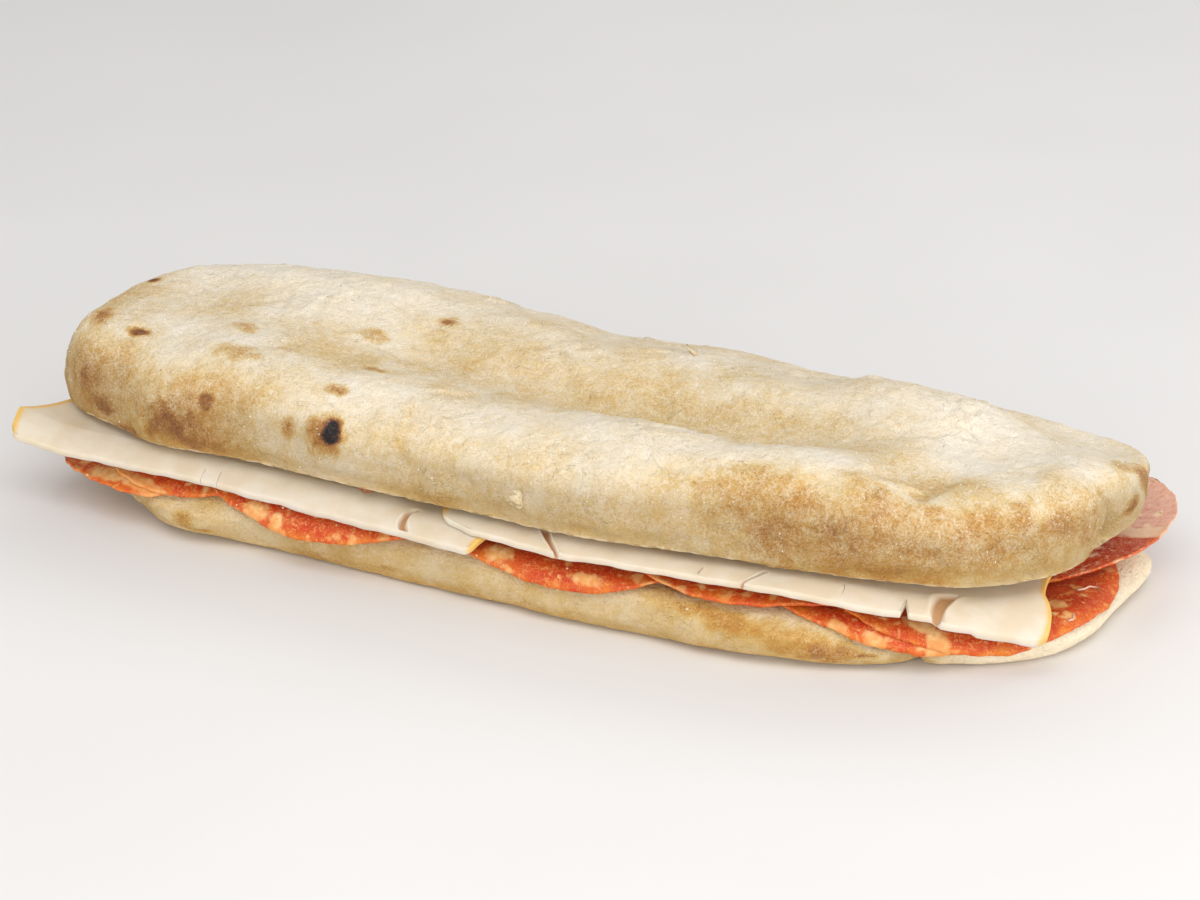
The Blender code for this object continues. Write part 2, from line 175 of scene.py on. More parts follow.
def setShares(mesh, **shares):
    for name, values in shares.items():
        found = mesh.attributes.new(name, "FLOAT", "POINT")
        found.data.foreach_set("value", np.asarray(values, np.float32))


def setVector(mesh, name, values):
    found = mesh.attributes.new(name, "FLOAT_VECTOR", "POINT")
    found.data.foreach_set("vector", np.asarray(values, np.float32).ravel())


def toLinear(colour):
    # 0-255 screen colour to the linear values that the shader reads
    found = []
    for v in colour:
        v = v / 255
        found.append(v / 12.92 if v <= 0.04045 else ((v + 0.055) / 1.055) ** 2.4)
    return (*found, 1.0)


def newMaterial(name):
    made = bpy.data.materials.new(name)
    made.use_nodes = True
    return made, made.node_tree, made.node_tree.nodes["Principled BSDF"]


def feed(tree, node, inputs):
    for key, value in inputs.items():
        if isinstance(value, bpy.types.NodeSocket):
            tree.links.new(value, node.inputs[key])
        else:
            node.inputs[key].default_value = value


def addNode(tree, kind, inputs, **props):
    made = tree.nodes.new(kind)
    for key, value in props.items():
        setattr(made, key, value)
    feed(tree, made, inputs)
    return made


def maths(tree, operation, a, b=0.5, clamp=False):
    return addNode(tree, "ShaderNodeMath", {0: a, 1: b}, operation=operation,
                   use_clamp=clamp).outputs[0]


def times(tree, a, b):
    return maths(tree, "MULTIPLY", a, b)


def plus(tree, a, b, clamp=False):
    return maths(tree, "ADD", a, b, clamp)


def larger(tree, a, b):
    return maths(tree, "MAXIMUM", a, b)


def spread(tree, value, amount):
    # swings both ways about nought
    return times(tree, maths(tree, "SUBTRACT", value, 0.5), amount)


def threadOf(tree, noise, width, strength=1.0):
    # thin line where a noise crosses its middle
    away = maths(tree, "ABSOLUTE", maths(tree, "SUBTRACT", noise, 0.5))
    return band(tree, away, 0.0, width, strength, 0)


def vectorMaths(tree, operation, inputs):
    return addNode(tree, "ShaderNodeVectorMath", inputs, operation=operation).outputs["Vector"]


def noiseAt(tree, place, scale, detail=3, roughness=0.55, distortion=0.0):
    return addNode(tree, "ShaderNodeTexNoise", {"Vector": place, "Scale": scale, "Detail": detail,
                   "Roughness": roughness, "Distortion": distortion}).outputs["Fac"]


def band(tree, value, low, high, toLow=0.0, toHigh=1.0):
    made = addNode(tree, "ShaderNodeMapRange", {
        "Value": value, "From Min": low, "From Max": high, "To Min": toLow, "To Max": toHigh,
    }, interpolation_type="SMOOTHSTEP")
    return made.outputs["Result"]


def mixColour(tree, share, a, b, blend="MIX"):
    # a mix node keeps its colour sockets at places 6 and 7, and the mixed colour at 2
    return addNode(tree, "ShaderNodeMix", {0: share, 6: a, 7: b}, data_type="RGBA",
                   blend_type=blend).outputs[2]


def rampOf(tree, value, stops):
    made = addNode(tree, "ShaderNodeValToRGB", {"Fac": value})
    ramp = made.color_ramp
    while len(ramp.elements) < len(stops):
        ramp.elements.new(0.5)
    for element, (place, colour) in zip(ramp.elements, stops):
        element.position = place
        element.color = toLinear(colour)
    return made.outputs["Color"]


def placeInMm(tree):
    found = addNode(tree, "ShaderNodeTexCoord", {}).outputs["Object"]
    return vectorMaths(tree, "SCALE", {0: found, "Scale": 1 / mm})


def attribute(tree, name, output="Fac"):
    return addNode(tree, "ShaderNodeAttribute", {}, attribute_name=name).outputs[output]


def bumpOf(tree, height, strength, distance, normal=None):
    # distance in mm; the bump rides on a coarser or finer one where a normal is given
    inputs = {"Height": height, "Strength": strength, "Distance": distance * mm}
    if normal is not None:
        inputs["Normal"] = normal
    return addNode(tree, "ShaderNodeBump", inputs).outputs["Normal"]


# camera, light and floor

viewSettings = {
    "from": (362.6, -713.6, 382.2),  # mm in the bread's own frame
    "towards": (-18.6, 51.0, 0.0),
    "angle": 20.0,
}

lightSettings = {
    "skyStrength": 0.48,
    "skyColour": (1.0, 0.99, 0.975),
    "lamps": [
        # name, place in mm, aim in mm, size in mm, watts
        ("softboxAbove", (120, -480, 820), (20, 0, 20), (1100, 600), 3.9),
        ("fillLeft", (-420, -900, 110), (-20, 0, 22), (800, 280), 2.0),
        ("frontLight", (330, -840, 320), (10, 0, 22), (760, 400), 2.6),
        ("backLight", (80, 650, 650), (20, 0, 20), (900, 400), 1.7),
        ("sideRight", (920, -60, 200), (60, 0, 25), (500, 500), 4.0),
    ],
    "floor": (234, 232, 231),
    "floorHalf": 6,  # metres
}


def aimedObject(name, data, place, aim):
    made = bpy.data.objects.new(name, data)
    bpy.context.scene.collection.objects.link(made)
    made.location = Vector(toWorld(place))
    ahead = Vector(toWorld(aim)) - made.location
    made.rotation_euler = ahead.to_track_quat("-Z", "Y").to_euler()
    return made


def addCamera(s):
    data = bpy.data.cameras.new("view")
    camera = aimedObject("view", data, s["from"], s["towards"])
    data.sensor_width = 36
    data.angle = math.radians(s["angle"])
    data.clip_start = 0.01
    bpy.context.scene.camera = camera


def addLights(s):
    world = bpy.data.worlds.new("studio")
    bpy.context.scene.world = world
    world.use_nodes = True
    sky = world.node_tree.nodes["Background"]
    sky.inputs["Color"].default_value = (*s["skyColour"], 1)
    sky.inputs["Strength"].default_value = s["skyStrength"]
    for name, place, aim, size, watts in s["lamps"]:
        data = bpy.data.lights.new(name, "AREA")
        data.shape = "RECTANGLE"
        data.size, data.size_y = size[0] * mm, size[1] * mm
        data.energy = watts
        aimedObject(name, data, place, aim)


def addFloor(s):
    bm = bmesh.new()
    bmesh.ops.create_grid(bm, x_segments=2, y_segments=2, size=s["floorHalf"])
    made, tree, shader = newMaterial("paleFloor")
    place = placeInMm(tree)
    tone = band(tree, noiseAt(tree, place, 0.006, 2), 0.3, 0.7)
    pale = toLinear(s["floor"])
    deeper = tuple(v * 0.97 for v in pale[:3]) + (1,)
    feed(tree, shader, {"Base Color": mixColour(tree, tone, deeper, pale), "Roughness": 0.75})
    floor = bpy.data.objects.new("floor", meshFrom(bm, "floor"))
    floor.data.materials.append(made)
    bpy.context.scene.collection.objects.link(floor)


# bread

crustSettings = {
    # share of baking and the colour it gives, from floury to charred
    "bakeColours": [
        (0.00, (242, 231, 211)),
        (0.18, (231, 211, 175)),
        (0.34, (218, 187, 127)),
        (0.50, (201, 155, 84)),
        (0.64, (172, 120, 69)),
        (0.78, (131, 85, 55)),
        (0.90, (66, 54, 50)),
        (1.00, (36, 33, 36)),
    ],
    "warmth": (255, 240, 208),
    "flourColour": (250, 240, 222),
    # colour multiplied into the side walls: painted shade
    "paintedWallShade": (216, 212, 205),
    "crumbColour": (240, 222, 188),
    # colour of the crumb's holes: painted shade
    "poreShadeColour": (205, 172, 120),
    "poreScale": 0.42,
    # scale per mm, detail, roughness and distortion: blotches of about a centimetre, then
    # mottling, then grain as fine as sand
    "noises": {
        "blotch": (0.10, 4, 0.6, 0.6),
        "mottle": (0.40, 5, 0.65, 0.4),
        "grain": (1.6, 3, 0.7),
        "sand": (3.4, 2, 0.6),
    },
    # how far each noise swings the baking and the flour
    "bakeSwing": {"blotch": 0.62, "mottle": 0.42, "grain": 0.49, "sand": 0.48},
    "flourSwing": {"mottle": -0.8, "grain": -1.0, "sand": -0.8},
    # noise, strength and depth in mm
    "bumps": [("sand", 0.7, 0.25), ("grain", 0.8, 0.5), ("mottle", 0.8, 1.2)],
}


def swingOf(tree, noises, amounts):
    # sum of noises, each swinging both ways about nought by its own amount
    parts = [spread(tree, noises[key], amount) for key, amount in amounts.items()]
    total = parts[0]
    for part in parts[1:]:
        total = plus(tree, total, part)
    return total


def crustMaterial(name, s, yellowAndReflectionTint=None):
    made, tree, shader = newMaterial(name)
    place = placeInMm(tree)
    # the baking share also carries painted shade and painted light on the breads
    bake = attribute(tree, "bake")
    crumb = attribute(tree, "crumb")
    noises = {key: noiseAt(tree, place, *values) for key, values in s["noises"].items()}
    # dark spots swing further with the grain, so that their edges break up
    swing = plus(tree, times(tree, bake, 0.30), 0.42)
    lift = times(tree, swingOf(tree, noises, s["bakeSwing"]), swing)
    share = plus(tree, bake, lift, True)
    colour = rampOf(tree, share, s["bakeColours"])
    # golden warmth comes and goes under the flour
    warm = band(tree, noiseAt(tree, place, 0.07, 4, 0.6), 0.42, 0.66, 0, 0.38)
    colour = mixColour(tree, warm, colour, toLinear(s["warmth"]), "MULTIPLY")
    # dusting of flour, in grains, thicker where the attribute says and thin on dark spots
    flour = plus(tree, attribute(tree, "flour"), swingOf(tree, noises, s["flourSwing"]))
    dusted = band(tree, flour, 0.05, 1.0, 0, 0.8)
    dusted = times(tree, dusted, band(tree, share, 0.45, 0.9, 1.0, 0.35))
    colour = mixColour(tree, dusted, colour, toLinear(s["flourColour"]))
    # open crumb on the cut faces, its holes painted darker: painted shade
    pores = addNode(tree, "ShaderNodeTexVoronoi", {"Vector": place, "Scale": s["poreScale"]})
    hole = band(tree, pores.outputs["Distance"], 0.25, 0.6, 1, 0)
    inside = mixColour(tree, hole, toLinear(s["crumbColour"]), toLinear(s["poreShadeColour"]))
    colour = mixColour(tree, crumb, colour, inside)
    # side walls multiplied darker by their wall share: painted shade
    colour = mixColour(tree, attribute(tree, "wall"), colour, toLinear(s["paintedWallShade"]), "MULTIPLY")
    # optional tint: on the bottom half partly its own yellower crust, partly painted warm
    # reflection
    if yellowAndReflectionTint:
        colour = mixColour(tree, yellowAndReflectionTint[0], colour, toLinear(yellowAndReflectionTint[1]), "MULTIPLY")
    # thin wandering wrinkles of the dried skin
    wander = noiseAt(tree, place, 0.055, 3, 0.5, 1.6)
    patchy = band(tree, noiseAt(tree, place, 0.09, 2), 0.48, 0.60)
    crease = times(tree, threadOf(tree, wander, 0.012), patchy)
    fine = None
    for key, strength, distance in s["bumps"]:
        fine = bumpOf(tree, noises[key], strength, distance, fine)
    fine = bumpOf(tree, crease, 0.45, 0.6, fine)
    holes = times(tree, hole, crumb)
    fine = bumpOf(tree, maths(tree, "SUBTRACT", 0.0, holes), 0.6, 0.8, fine)
    feed(tree, shader, {"Base Color": colour, "Roughness": band(tree, share, 0.2, 0.8, 0.92, 0.66),
                        "Specular IOR Level": 0.22, "Normal": fine})
    return made


def refined(name, voxel):
    # a smooth, evenly meshed copy of a bread half
    bm = bmesh.new()
    bm.from_mesh(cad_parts[name].data)
    bmesh.ops.remove_doubles(bm, verts=bm.verts, dist=0.002 * mm)
    bmesh.ops.join_triangles(bm, faces=bm.faces, angle_face_threshold=0.7,
                             angle_shape_threshold=0.9)
    mesh = meshFrom(bm, name + "Copy")
    made = bpy.data.objects.new(name + "Copy", mesh)
    bpy.context.scene.collection.objects.link(made)
    rounder = made.modifiers.new("rounder", "SUBSURF")
    rounder.levels = rounder.render_levels = 2
    even = made.modifiers.new("even", "REMESH")
    even.mode = "VOXEL"
    even.voxel_size = voxel * mm
    calm = made.modifiers.new("calm", "SMOOTH")
    calm.factor = 0.5
    calm.iterations = 4
    shown = made.evaluated_get(bpy.context.evaluated_depsgraph_get())
    fine = bpy.data.meshes.new_from_object(shown)
    bpy.data.objects.remove(made, do_unlink=True)
    print(name, "refined to", len(fine.vertices), "points")
    return fine


def spotShare(points, spots, seed):
    # dark spots: centre, reach and how dark, their edges broken by the field; most are baked, one
    # broad patch on the bottom half is painted shade
    wobble = layers(points, 5.0, seed, 3)
    found = np.zeros(len(points))
    for centre, reach, dark in spots:
        d = apart(points, centre, reach) + wobble * 0.6
        found = np.maximum(found, dark * ease(1.65, 0.3, d))
    return found


topSettings = {
    "voxel": 0.86,
    # centre, reach in x y z, share of baking: larger patches first
    "patches": [
        ((20, -5, 43), (46, 17, 9), 0.35),
        ((-30, 0, 44), (26, 16, 8), 0.30),
        ((60, 0, 43), (24, 12, 8), 0.32),
        ((104, -19, 45), (14, 9, 5), 0.36),
        ((-82, -47, 35), (20, 12, 12), 0.52),
        ((-112, -40, 40), (13, 12, 10), 0.46),
        ((-124, -38, 33), (17, 18, 14), 0.48),
        ((-128, -10, 43), (10, 24, 10), 0.42),
        ((62, -42, 39), (15, 10, 9), 0.42),
        ((86, -38, 34), (26, 12, 15), 0.56),
        ((114, -31, 35), (32, 18, 14), 0.50),
        ((136, -12, 38), (14, 18, 9), 0.46),
        ((132, -16, 29), (18, 14, 6), 0.36),
        ((30, -46, 31), (66, 10, 11), 0.30),
        ((-20, -46, 34), (40, 9, 10), 0.25),
        ((-60, -20, 48), (22, 12, 6), 0.32),
        ((-96, -6, 50), (12, 16, 6), 0.30),
    ],
    "spots": [
        ((-44.9, -47.4, 39.1), (3.6, 3.0, 4.6), 1.02),
        ((-46.5, -47.6, 38.2), (6.5, 4.5, 6.5), 0.66),
        ((-94.0, -48.6, 31.6), (9.0, 8.0, 7.5), 0.66),
        ((-86.0, -48.0, 28.8), (7.5, 7.0, 6.5), 0.62),
        ((-88.0, -48.0, 31.5), (16, 9.0, 10.0), 0.60),
        ((-76.0, -47.5, 32.5), (11, 8.0, 7.5), 0.54),
        ((-82.0, -46.5, 39.7), (3.6, 3.2, 3.2), 0.70),
        ((-68.3, -44.8, 42.3), (4.5, 4.0, 3.5), 0.48),
        ((-57.6, -47.2, 37.6), (2.2, 2.2, 3.0), 0.56),
        ((-119.4, -40.2, 29.0), (8.0, 6.0, 5.0), 0.62),
        ((-109.0, -43.0, 25.5), (8.0, 4.0, 3.2), 0.62),
        ((-121.9, -40.3, 36.5), (9.0, 7.0, 6.5), 0.56),
        ((-127.0, -1.6, 49.6), (3.4, 2.0, 2.2), 0.88),
        ((-111.5, -32.7, 48.3), (3.4, 2.2, 2.0), 0.80),
        ((-125.5, -28.0, 48.6), (3.5, 6.0, 2.6), 0.64),
        ((-85.0, 27.0, 52.0), (2.2, 2.0, 2.0), 0.86),
        ((-85.8, -20.8, 50.9), (4.5, 3.5, 3.0), 0.50),
        ((-78.7, -34.8, 49.8), (8.0, 3.5, 3.0), 0.50),
        ((-68.5, -27.1, 49.4), (5.0, 2.6, 3.0), 0.46),
        ((-56.7, -4.1, 47.0), (4.0, 3.0, 3.0), 0.48),
        ((-42.4, 10.6, 47.9), (3.6, 2.6, 3.0), 0.66),
        ((-46.6, -23.2, 47.0), (4.2, 2.2, 3.0), 0.56),
        ((-48.5, -38.3, 46.9), (3.4, 2.0, 2.4), 0.58),
        ((81.0, -40.8, 31.2), (6.5, 5.5, 5.0), 0.52),
        ((59.4, -41.3, 42.1), (7.0, 5.0, 4.0), 0.52),
        ((95.1, -34.4, 41.0), (10, 7.0, 5.0), 0.52),
        ((108.0, -35.5, 33.2), (9.0, 5.0, 2.2), 0.60),
        ((121.6, -23.0, 38.0), (18, 12, 6.0), 0.55),
        ((134.8, -12.7, 37.2), (9.0, 10, 5.0), 0.56),
        ((140.4, -6.0, 32.3), (4.0, 5.0, 3.5), 0.48),
        ((143.0, 16.1, 31.6), (3.5, 4.0, 3.5), 0.56),
        ((140.0, 24.0, 41.0), (5.0, 9.0, 5.0), 0.60),
        ((142.0, 27.0, 36.0), (4.0, 6.0, 6.0), 0.58),
    ],
    # flour lies thick along the ridges
    "flourLines": [
        [(-108, -24.3, 49.3), (-78.1, -28.4, 50.3), (-51.7, -32.9, 48.6), (-21, -33.5, 46.5),
         (2.1, -30.4, 46.7), (39, -34.1, 47.9), (63, -27, 48.1), (92.5, -23.2, 46.1),
         (105, -1.6, 44.4), (125.8, 4.7, 44.7)],
        [(-100, 22, 52), (-60, 30, 51), (-10, 32, 48), (40, 34, 46), (82, 26, 48), (112, 20, 45)],
    ],
    "dimpleFlour": [(93, -26.0, 48), (98, -27.8, 47.0), (104.1, -28.2, 45.0), (109, -27.0, 44.8),
                    (116, -25.0, 44.8)],
    # ends where the top is paler: partly flour, partly painted light
    "paleEnds": [((-98, 14, 52), (42, 26, 9)), ((112, 12, 46), (34, 20, 9))],
    "flourReach": 8.0,
    "flourLevel": 0.50,
    "flourBase": 0.30,
    # middle of the dimple, then the end and depth of each of its arms
    "dimple": (104.1, -25.4, 45.5),
    "dimpleArms": [((94, -24.5, 47.5), 0.8), ((107.3, -9.5, 43.0), 1.6), ((114, -25.5, 44.3), 0.6)],
    "hollow": (105.5, -21.0, 45.0),
    "fold": ((-101.5, -47.5, 36), (-99.5, -47.5, 24)),  # beside the dark patch near the left end
    "endCrease": ((139.5, 5.5, 38.5), (141.2, 10.5, 23.5)),
    "knob": ((142.5, 14, 31), (6, 6, 8)),
    "nook": ((142, 5, 25), (12, 9, 6)),  # where the lip draws in beside the knob
    "wrinkles": [
        ((-23.5, -47.8, 37.8), (-19, -47.5, 34.6)), ((-12, -47.4, 36.4), (-6, -47.6, 35.4)),
        ((-6.8, -47.8, 34), (-2, -47.8, 32.2)), ((14, -42, 44.8), (19, -41, 44.4)),
        ((86, -38, 36.5), (93, -37.5, 35)), ((70, -41, 36), (66, -42.5, 30)),
        ((72, -40, 38), (74, -41.5, 33)),
    ],
    "flakeRing": ((8.7, -48.5, 32.7), (3.0, 3.0, 1.5)),
    "backBump": (22, 22.7, 47.1),
}


def topRelief(p, normals, s):
    # how far each point stands out along its normal, mm
    out = 0.95 * layers(p, 14, 1, 4) + 0.22 * rough(p, 2.6, 7) + 0.14 * rough(p, 1.7, 8)
    # long fine wrinkles round the side wall
    wall = ease(0.75, 0.25, np.abs(normals[:, 2])) * ease(22, 26, p[:, 2])
    stretched = p * np.array([0.28, 0.28, 1.0])
    out += wall * 0.42 * rough(stretched, 3.2, 21) + wall * 0.25 * rough(stretched, 1.7, 22)
    # thin raised edges of flaking crust
    line = rough(p, 19, 31) + 0.35 * rough(p, 6, 32)
    where = ease(0.08, 0.30, rough(p, 24, 33))
    outer = ease(-0.4, 0.1, normals[:, 2]) * ease(24, 28, p[:, 2])
    out += 0.55 * bell(line, 0.04) * where * outer
    out -= 0.35 * bell(line - 0.08, 0.05) * where * outer
    d = nearLine(p, *s["fold"])
    out += wall * (0.6 * bell(d - 2.6, 1.4) - 1.3 * bell(d, 1.1))
    # the dimple with its arms, which run out shallower
    out -= 2.3 * bell(apart(p, s["hollow"]), 6.0)
    for end, depth in s["dimpleArms"]:
        d, t = alongLine(p, s["dimple"], end)
        out -= depth * (1 - 0.7 * t) * bell(d, 2.6)
    out -= 2.4 * bell(nearLine(p, *s["endCrease"]), 1.7)
    out += 0.9 * bell(apart(p, *s["knob"]))
    for start, end in s["wrinkles"]:
        d = nearLine(p, start, end)
        out += 0.45 * bell(d, 0.5) - 0.35 * bell(d - 1.1, 0.5)
    d = apart(p, *s["flakeRing"])
    out += 0.5 * bell(d - 1, 0.22) - 0.25 * bell(d, 0.7)
    out += 0.9 * bell(apart(p, s["backBump"]), 1.8)
    # ragged lip
    out += bell(p[:, 2] - 23.5, 2.2) * 0.30 * rough(p, 2.2, 41)
    return out


def topBread(s):
    mesh = refined("bread_top", s["voxel"])
    points = toBread(getPoints(mesh))
    normals = getNormals(mesh)
    out = topRelief(points, normals, s)
    cut = ease(-0.55, -0.8, normals[:, 2]) * ease(28, 26, points[:, 2])
    crumbs = 0.5 * layers(points, 3.4, 51, 2)
    out = out * (1 - cut) + cut * np.minimum(crumbs, 0.05)
    moved = points + normals * out[:, None]
    moved[:, 0] -= 3.0 * bell(apart(points, *s["nook"]))
    wall = ease(0.75, 0.2, np.abs(normals[:, 2]))
    # upward faces get less baking, so the tops come out lighter: painted light
    bake = 0.20 + 0.20 * layers(points, 19, 61, 3) - 0.07 * ease(0.6, 0.95, normals[:, 2])
    bake += 0.08 * ease(34, 27, points[:, 2])
    # both ends are paler on top: partly flour, partly painted light
    pale = np.zeros(len(points))
    for centre, reach in s["paleEnds"]:
        pale = np.maximum(pale, bell(apart(points, centre, reach)))
    bake -= 0.09 * pale
    for centre, reach, dark in s["patches"]:
        d = apart(points, centre, reach) + 0.7 * layers(points, 12, 63, 3)
        bake = np.maximum(bake, bake + (dark - bake) * ease(1.5, 0.2, d))
    bake = np.maximum(bake, spotShare(points, s["spots"], 71))
    bake += 0.10 * np.maximum(0, layers(points, 7, 75, 2)) * ease(0.15, 0.4, bake)
    flour = (s["flourBase"] + 0.15 * layers(points, 11, 81, 2)) * (1 - 0.1 * wall) + 0.28 * pale
    for path in s["flourLines"]:
        flour = np.maximum(flour, s["flourLevel"] * bell(nearPath(points, path), s["flourReach"]))
    dimpled = bell(nearPath(points, s["dimpleFlour"]), 2.5)
    flour = np.maximum(flour, 0.6 * dimpled)
    bake *= 1 - 0.4 * dimpled
    flour *= ease(0.75, 0.5, bake) * ease(0.0, 0.4, normals[:, 2] + 0.35)
    bake -= 0.12 * flour
    setPoints(mesh, toWorld(moved))
    # the wall share carries the painted shade of the side walls
    setShares(mesh, bake=np.clip(bake, 0, 1), flour=np.clip(flour, 0, 1), crumb=cut, wall=wall)
    made = crustMaterial("flouryCrust", crustSettings)
    return addPiece("topBread", mesh, made, ["bread_top"])


bottomSettings = {
    "voxel": 0.9,
    "spots": [
        ((86.0, -43.0, 4.4), (8.0, 4.0, 0.7), 0.60),
        ((98.0, -39.0, 5.0), (5.0, 3.0, 0.7), 0.74),
        ((92.0, -41.0, 3.2), (9.0, 4.0, 0.5), 0.56),
        ((65.9, -45.7, 9.5), (10, 5.0, 3.0), 0.54),
        ((56.7, -45.9, 11.0), (8.0, 5.0, 2.2), 0.50),
        ((80.0, -44.0, 8.0), (16, 5.0, 5.0), 0.42),
        # this broad low patch darkens the foot at the right: painted shade
        ((88.0, -42.0, 5.5), (20, 5.0, 3.0), 0.56),
        ((-84.0, -49.4, 4.5), (5.0, 3.0, 1.2), 0.52),
        ((-87.7, -50.5, 7.0), (4.0, 3.0, 2.0), 0.46),
        ((-30.0, -48.0, 4.0), (4.0, 3.0, 1.5), 0.50),
        ((0.0, 0.0, 0.0), (40, 30, 2.0), 0.52),
        ((70.0, 10.0, 0.0), (30, 20, 2.0), 0.55),
        ((-80.0, -10.0, 0.0), (34, 22, 2.0), 0.52),
        ((30.0, -22.0, 0.0), (5, 4, 2.0), 0.90),
        ((-52.0, 14.0, 0.0), (6, 4, 2.0), 0.86),
        ((96.0, 22.0, 0.0), (4, 5, 2.0), 0.88),
        ((-112.0, 4.0, 0.0), (5, 4, 2.0), 0.80),
    ],
    # start, end, height and width
    "folds": [
        ((-94, -49, 9), (-84, -51, 9.5), 1.5, 3.0),
        ((-88, -51, 3), (-76, -52, 4.5), 0.9, 2.0),
        ((-70, -51, 6), (-44, -52, 5), 0.5, 3.0),
        ((-34, -52, 8), (-8, -51, 6), 0.6, 3.5),
        ((30, -49, 6), (58, -48, 4.5), 0.8, 3.5),
        ((52, -47.5, 11), (72, -45, 8), 0.7, 2.2),
        ((66, -46, 5), (100, -38, 4), 0.8, 3.0),
    ],
    "footCrease": ((-96, -50, 3.6), (-70, -50, 5.2)),
    # the cleft under the pinch: where, how wide, how far it draws in and up
    "cleftAt": 106.6,
    "cleftWidth": 1.6,
    "cleftIn": 3.4,
    "cleftUp": 2.0,
    # yellows the bottom half: partly its own yellower crust, partly painted warm reflection from
    # below
    "yellowAndReflectionTint": (0.7, (255, 248, 229)),
}


def bottomBread(s):
    mesh = refined("bread_bottom", s["voxel"])
    points = toBread(getPoints(mesh))
    normals = getNormals(mesh)
    out = 0.38 * layers(points, 11, 101, 3) + 0.12 * rough(points, 2.2, 104)
    wall = ease(0.8, 0.3, np.abs(normals[:, 2]))
    stretched = points * np.array([0.25, 0.25, 1.0])
    out += wall * 0.30 * rough(stretched, 3.0, 111)
    # the cleft under the pinch, with its two swollen sides
    d = np.abs(points[:, 0] - s["cleftAt"])
    low = ease(9, 4, points[:, 2]) * (points[:, 1] < -24)
    cleft = low * np.exp(-d / s["cleftWidth"])
    out += 0.8 * low * wall * bell(d - 6, 3)
    # swollen folds along the front, and a crease along the foot
    for start, end, height, wide in s["folds"]:
        out += height * bell(nearLine(points, start, end), wide)
    out -= 0.7 * bell(nearLine(points, *s["footCrease"]), 0.8)
    # the cut face, inside a rim of crust
    across = points[:, 1] - endTurn(points[:, 0])
    inner = (np.abs(points[:, 0]) / 138) ** 3 + (np.abs(across) / 43.5) ** 3
    cut = ease(0.72, 0.9, normals[:, 2]) * ease(6.5, 8, points[:, 2]) * ease(1.0, 0.8, inner)
    out = out * (1 - cut) + cut * np.minimum(0.45 * layers(points, 3.2, 121, 2), 0.05)
    # nothing of the relief comes up into the filling or through the floor
    upward = ease(0.2, 0.6, normals[:, 2]) * (points[:, 2] > 5)
    out = np.where(upward > 0, np.minimum(out, out * (1 - upward) + 0.05 * upward), out)
    moved = points + normals * out[:, None]
    moved[:, 1] += s["cleftIn"] * cleft
    moved[:, 2] += s["cleftUp"] * cleft * ease(-26, -34, points[:, 1])
    # the sole stays flat on the floor, and all else just above it
    sole = (points[:, 2] < 0.35) & (cleft < 0.02)
    flattened = np.maximum(0, np.minimum(points[:, 2], moved[:, 2]))
    moved[:, 2] = np.where(sole, flattened, np.maximum(moved[:, 2], 0.02))
    bake = 0.24 + 0.18 * layers(points, 17, 131, 3)
    # the lower wall darkens towards the foot: painted shade, carried in the baking share
    bake += 0.15 * ease(6, 1, points[:, 2]) * ease(118, 96, points[:, 0])
    bake -= 0.28 * ease(108, 122, points[:, 0])
    under = ease(-0.6, -0.9, normals[:, 2])
    soleBake = 0.34 + 0.22 * layers(points, 12, 135, 3)
    bake = np.where(under > 0, bake * (1 - under) + under * soleBake, bake)
    bake = np.maximum(bake, spotShare(points, s["spots"], 141))
    flour = 0.12 + 0.25 * layers(points, 9, 151, 2) + 0.75 * ease(108, 122, points[:, 0])
    flour = flour * (1 - under * 0.4)
    setPoints(mesh, toWorld(moved))
    # the wall share carries the painted shade of the side walls
    setShares(mesh, bake=np.clip(bake, 0, 1), flour=np.clip(flour, 0, 1), crumb=cut,
              wall=0.6 * wall * ease(122, 108, points[:, 0]))
    made = crustMaterial("bottomCrust", crustSettings, s["yellowAndReflectionTint"])
    return addPiece("bottomBread", mesh, made, ["bread_bottom"])


# laying sheets over the bed and round the rim of the bottom half

bed = {
    # outline of the bread, mm: the power squares its corners, most so at the back right
    "halfLength": 143.0, "halfWidth": 48.5, "power": 3.0, "squarePower": 4.2, "endTurn": 13.0,
    # height of the bed, radius of its rim, and how far it drops towards the right end
    "level": 13.3, "rim": 6.0, "drop": 4.5, "dropFrom": 74, "dropTo": 128,
    # degrees that a sheet hangs at the left end, along the front and at the right end
    "slopes": (20, 54, 76), "slopeWave": 6,
    "gap": 0.6, "salamiStep": 1.1, "salamiThick": 0.75,
    "cheeseStep": 1.9, "cheeseThick": 1.55, "cheeseBase": 6.1, "curl": 34.0,
    "tipStart": -120, "tipLength": 22, "tipLift": 2.5,
}


def endTurn(x):
    # how far the bread's middle line swings aside towards its two ends
    return bed["endTurn"] * (x / bed["halfLength"]) ** 3


def rimCurve():
    a = 2 * np.pi * np.arange(1440) / 1440
    x, y = np.cos(a), np.sin(a)
    n = np.where((x > 0) & (y > 0), bed["squarePower"], bed["power"])
    level = (np.abs(x) ** n + np.abs(y) ** n) ** (1 / n)
    return np.stack([bed["halfLength"] * x / level, bed["halfWidth"] * y / level], 1)


rimPoints = rimCurve()


def bedDrop(x):
    return bed["drop"] * ease(bed["dropFrom"], bed["dropTo"], x)


def steepest(x):
    low, mid, high = np.radians(bed["slopes"])
    wave = math.radians(bed["slopeWave"]) * np.sin(x / 11) * np.cos(x / 29)
    return mid - (mid - low) * ease(-76, -110, x) + (high - mid) * ease(84, 116, x) + wave


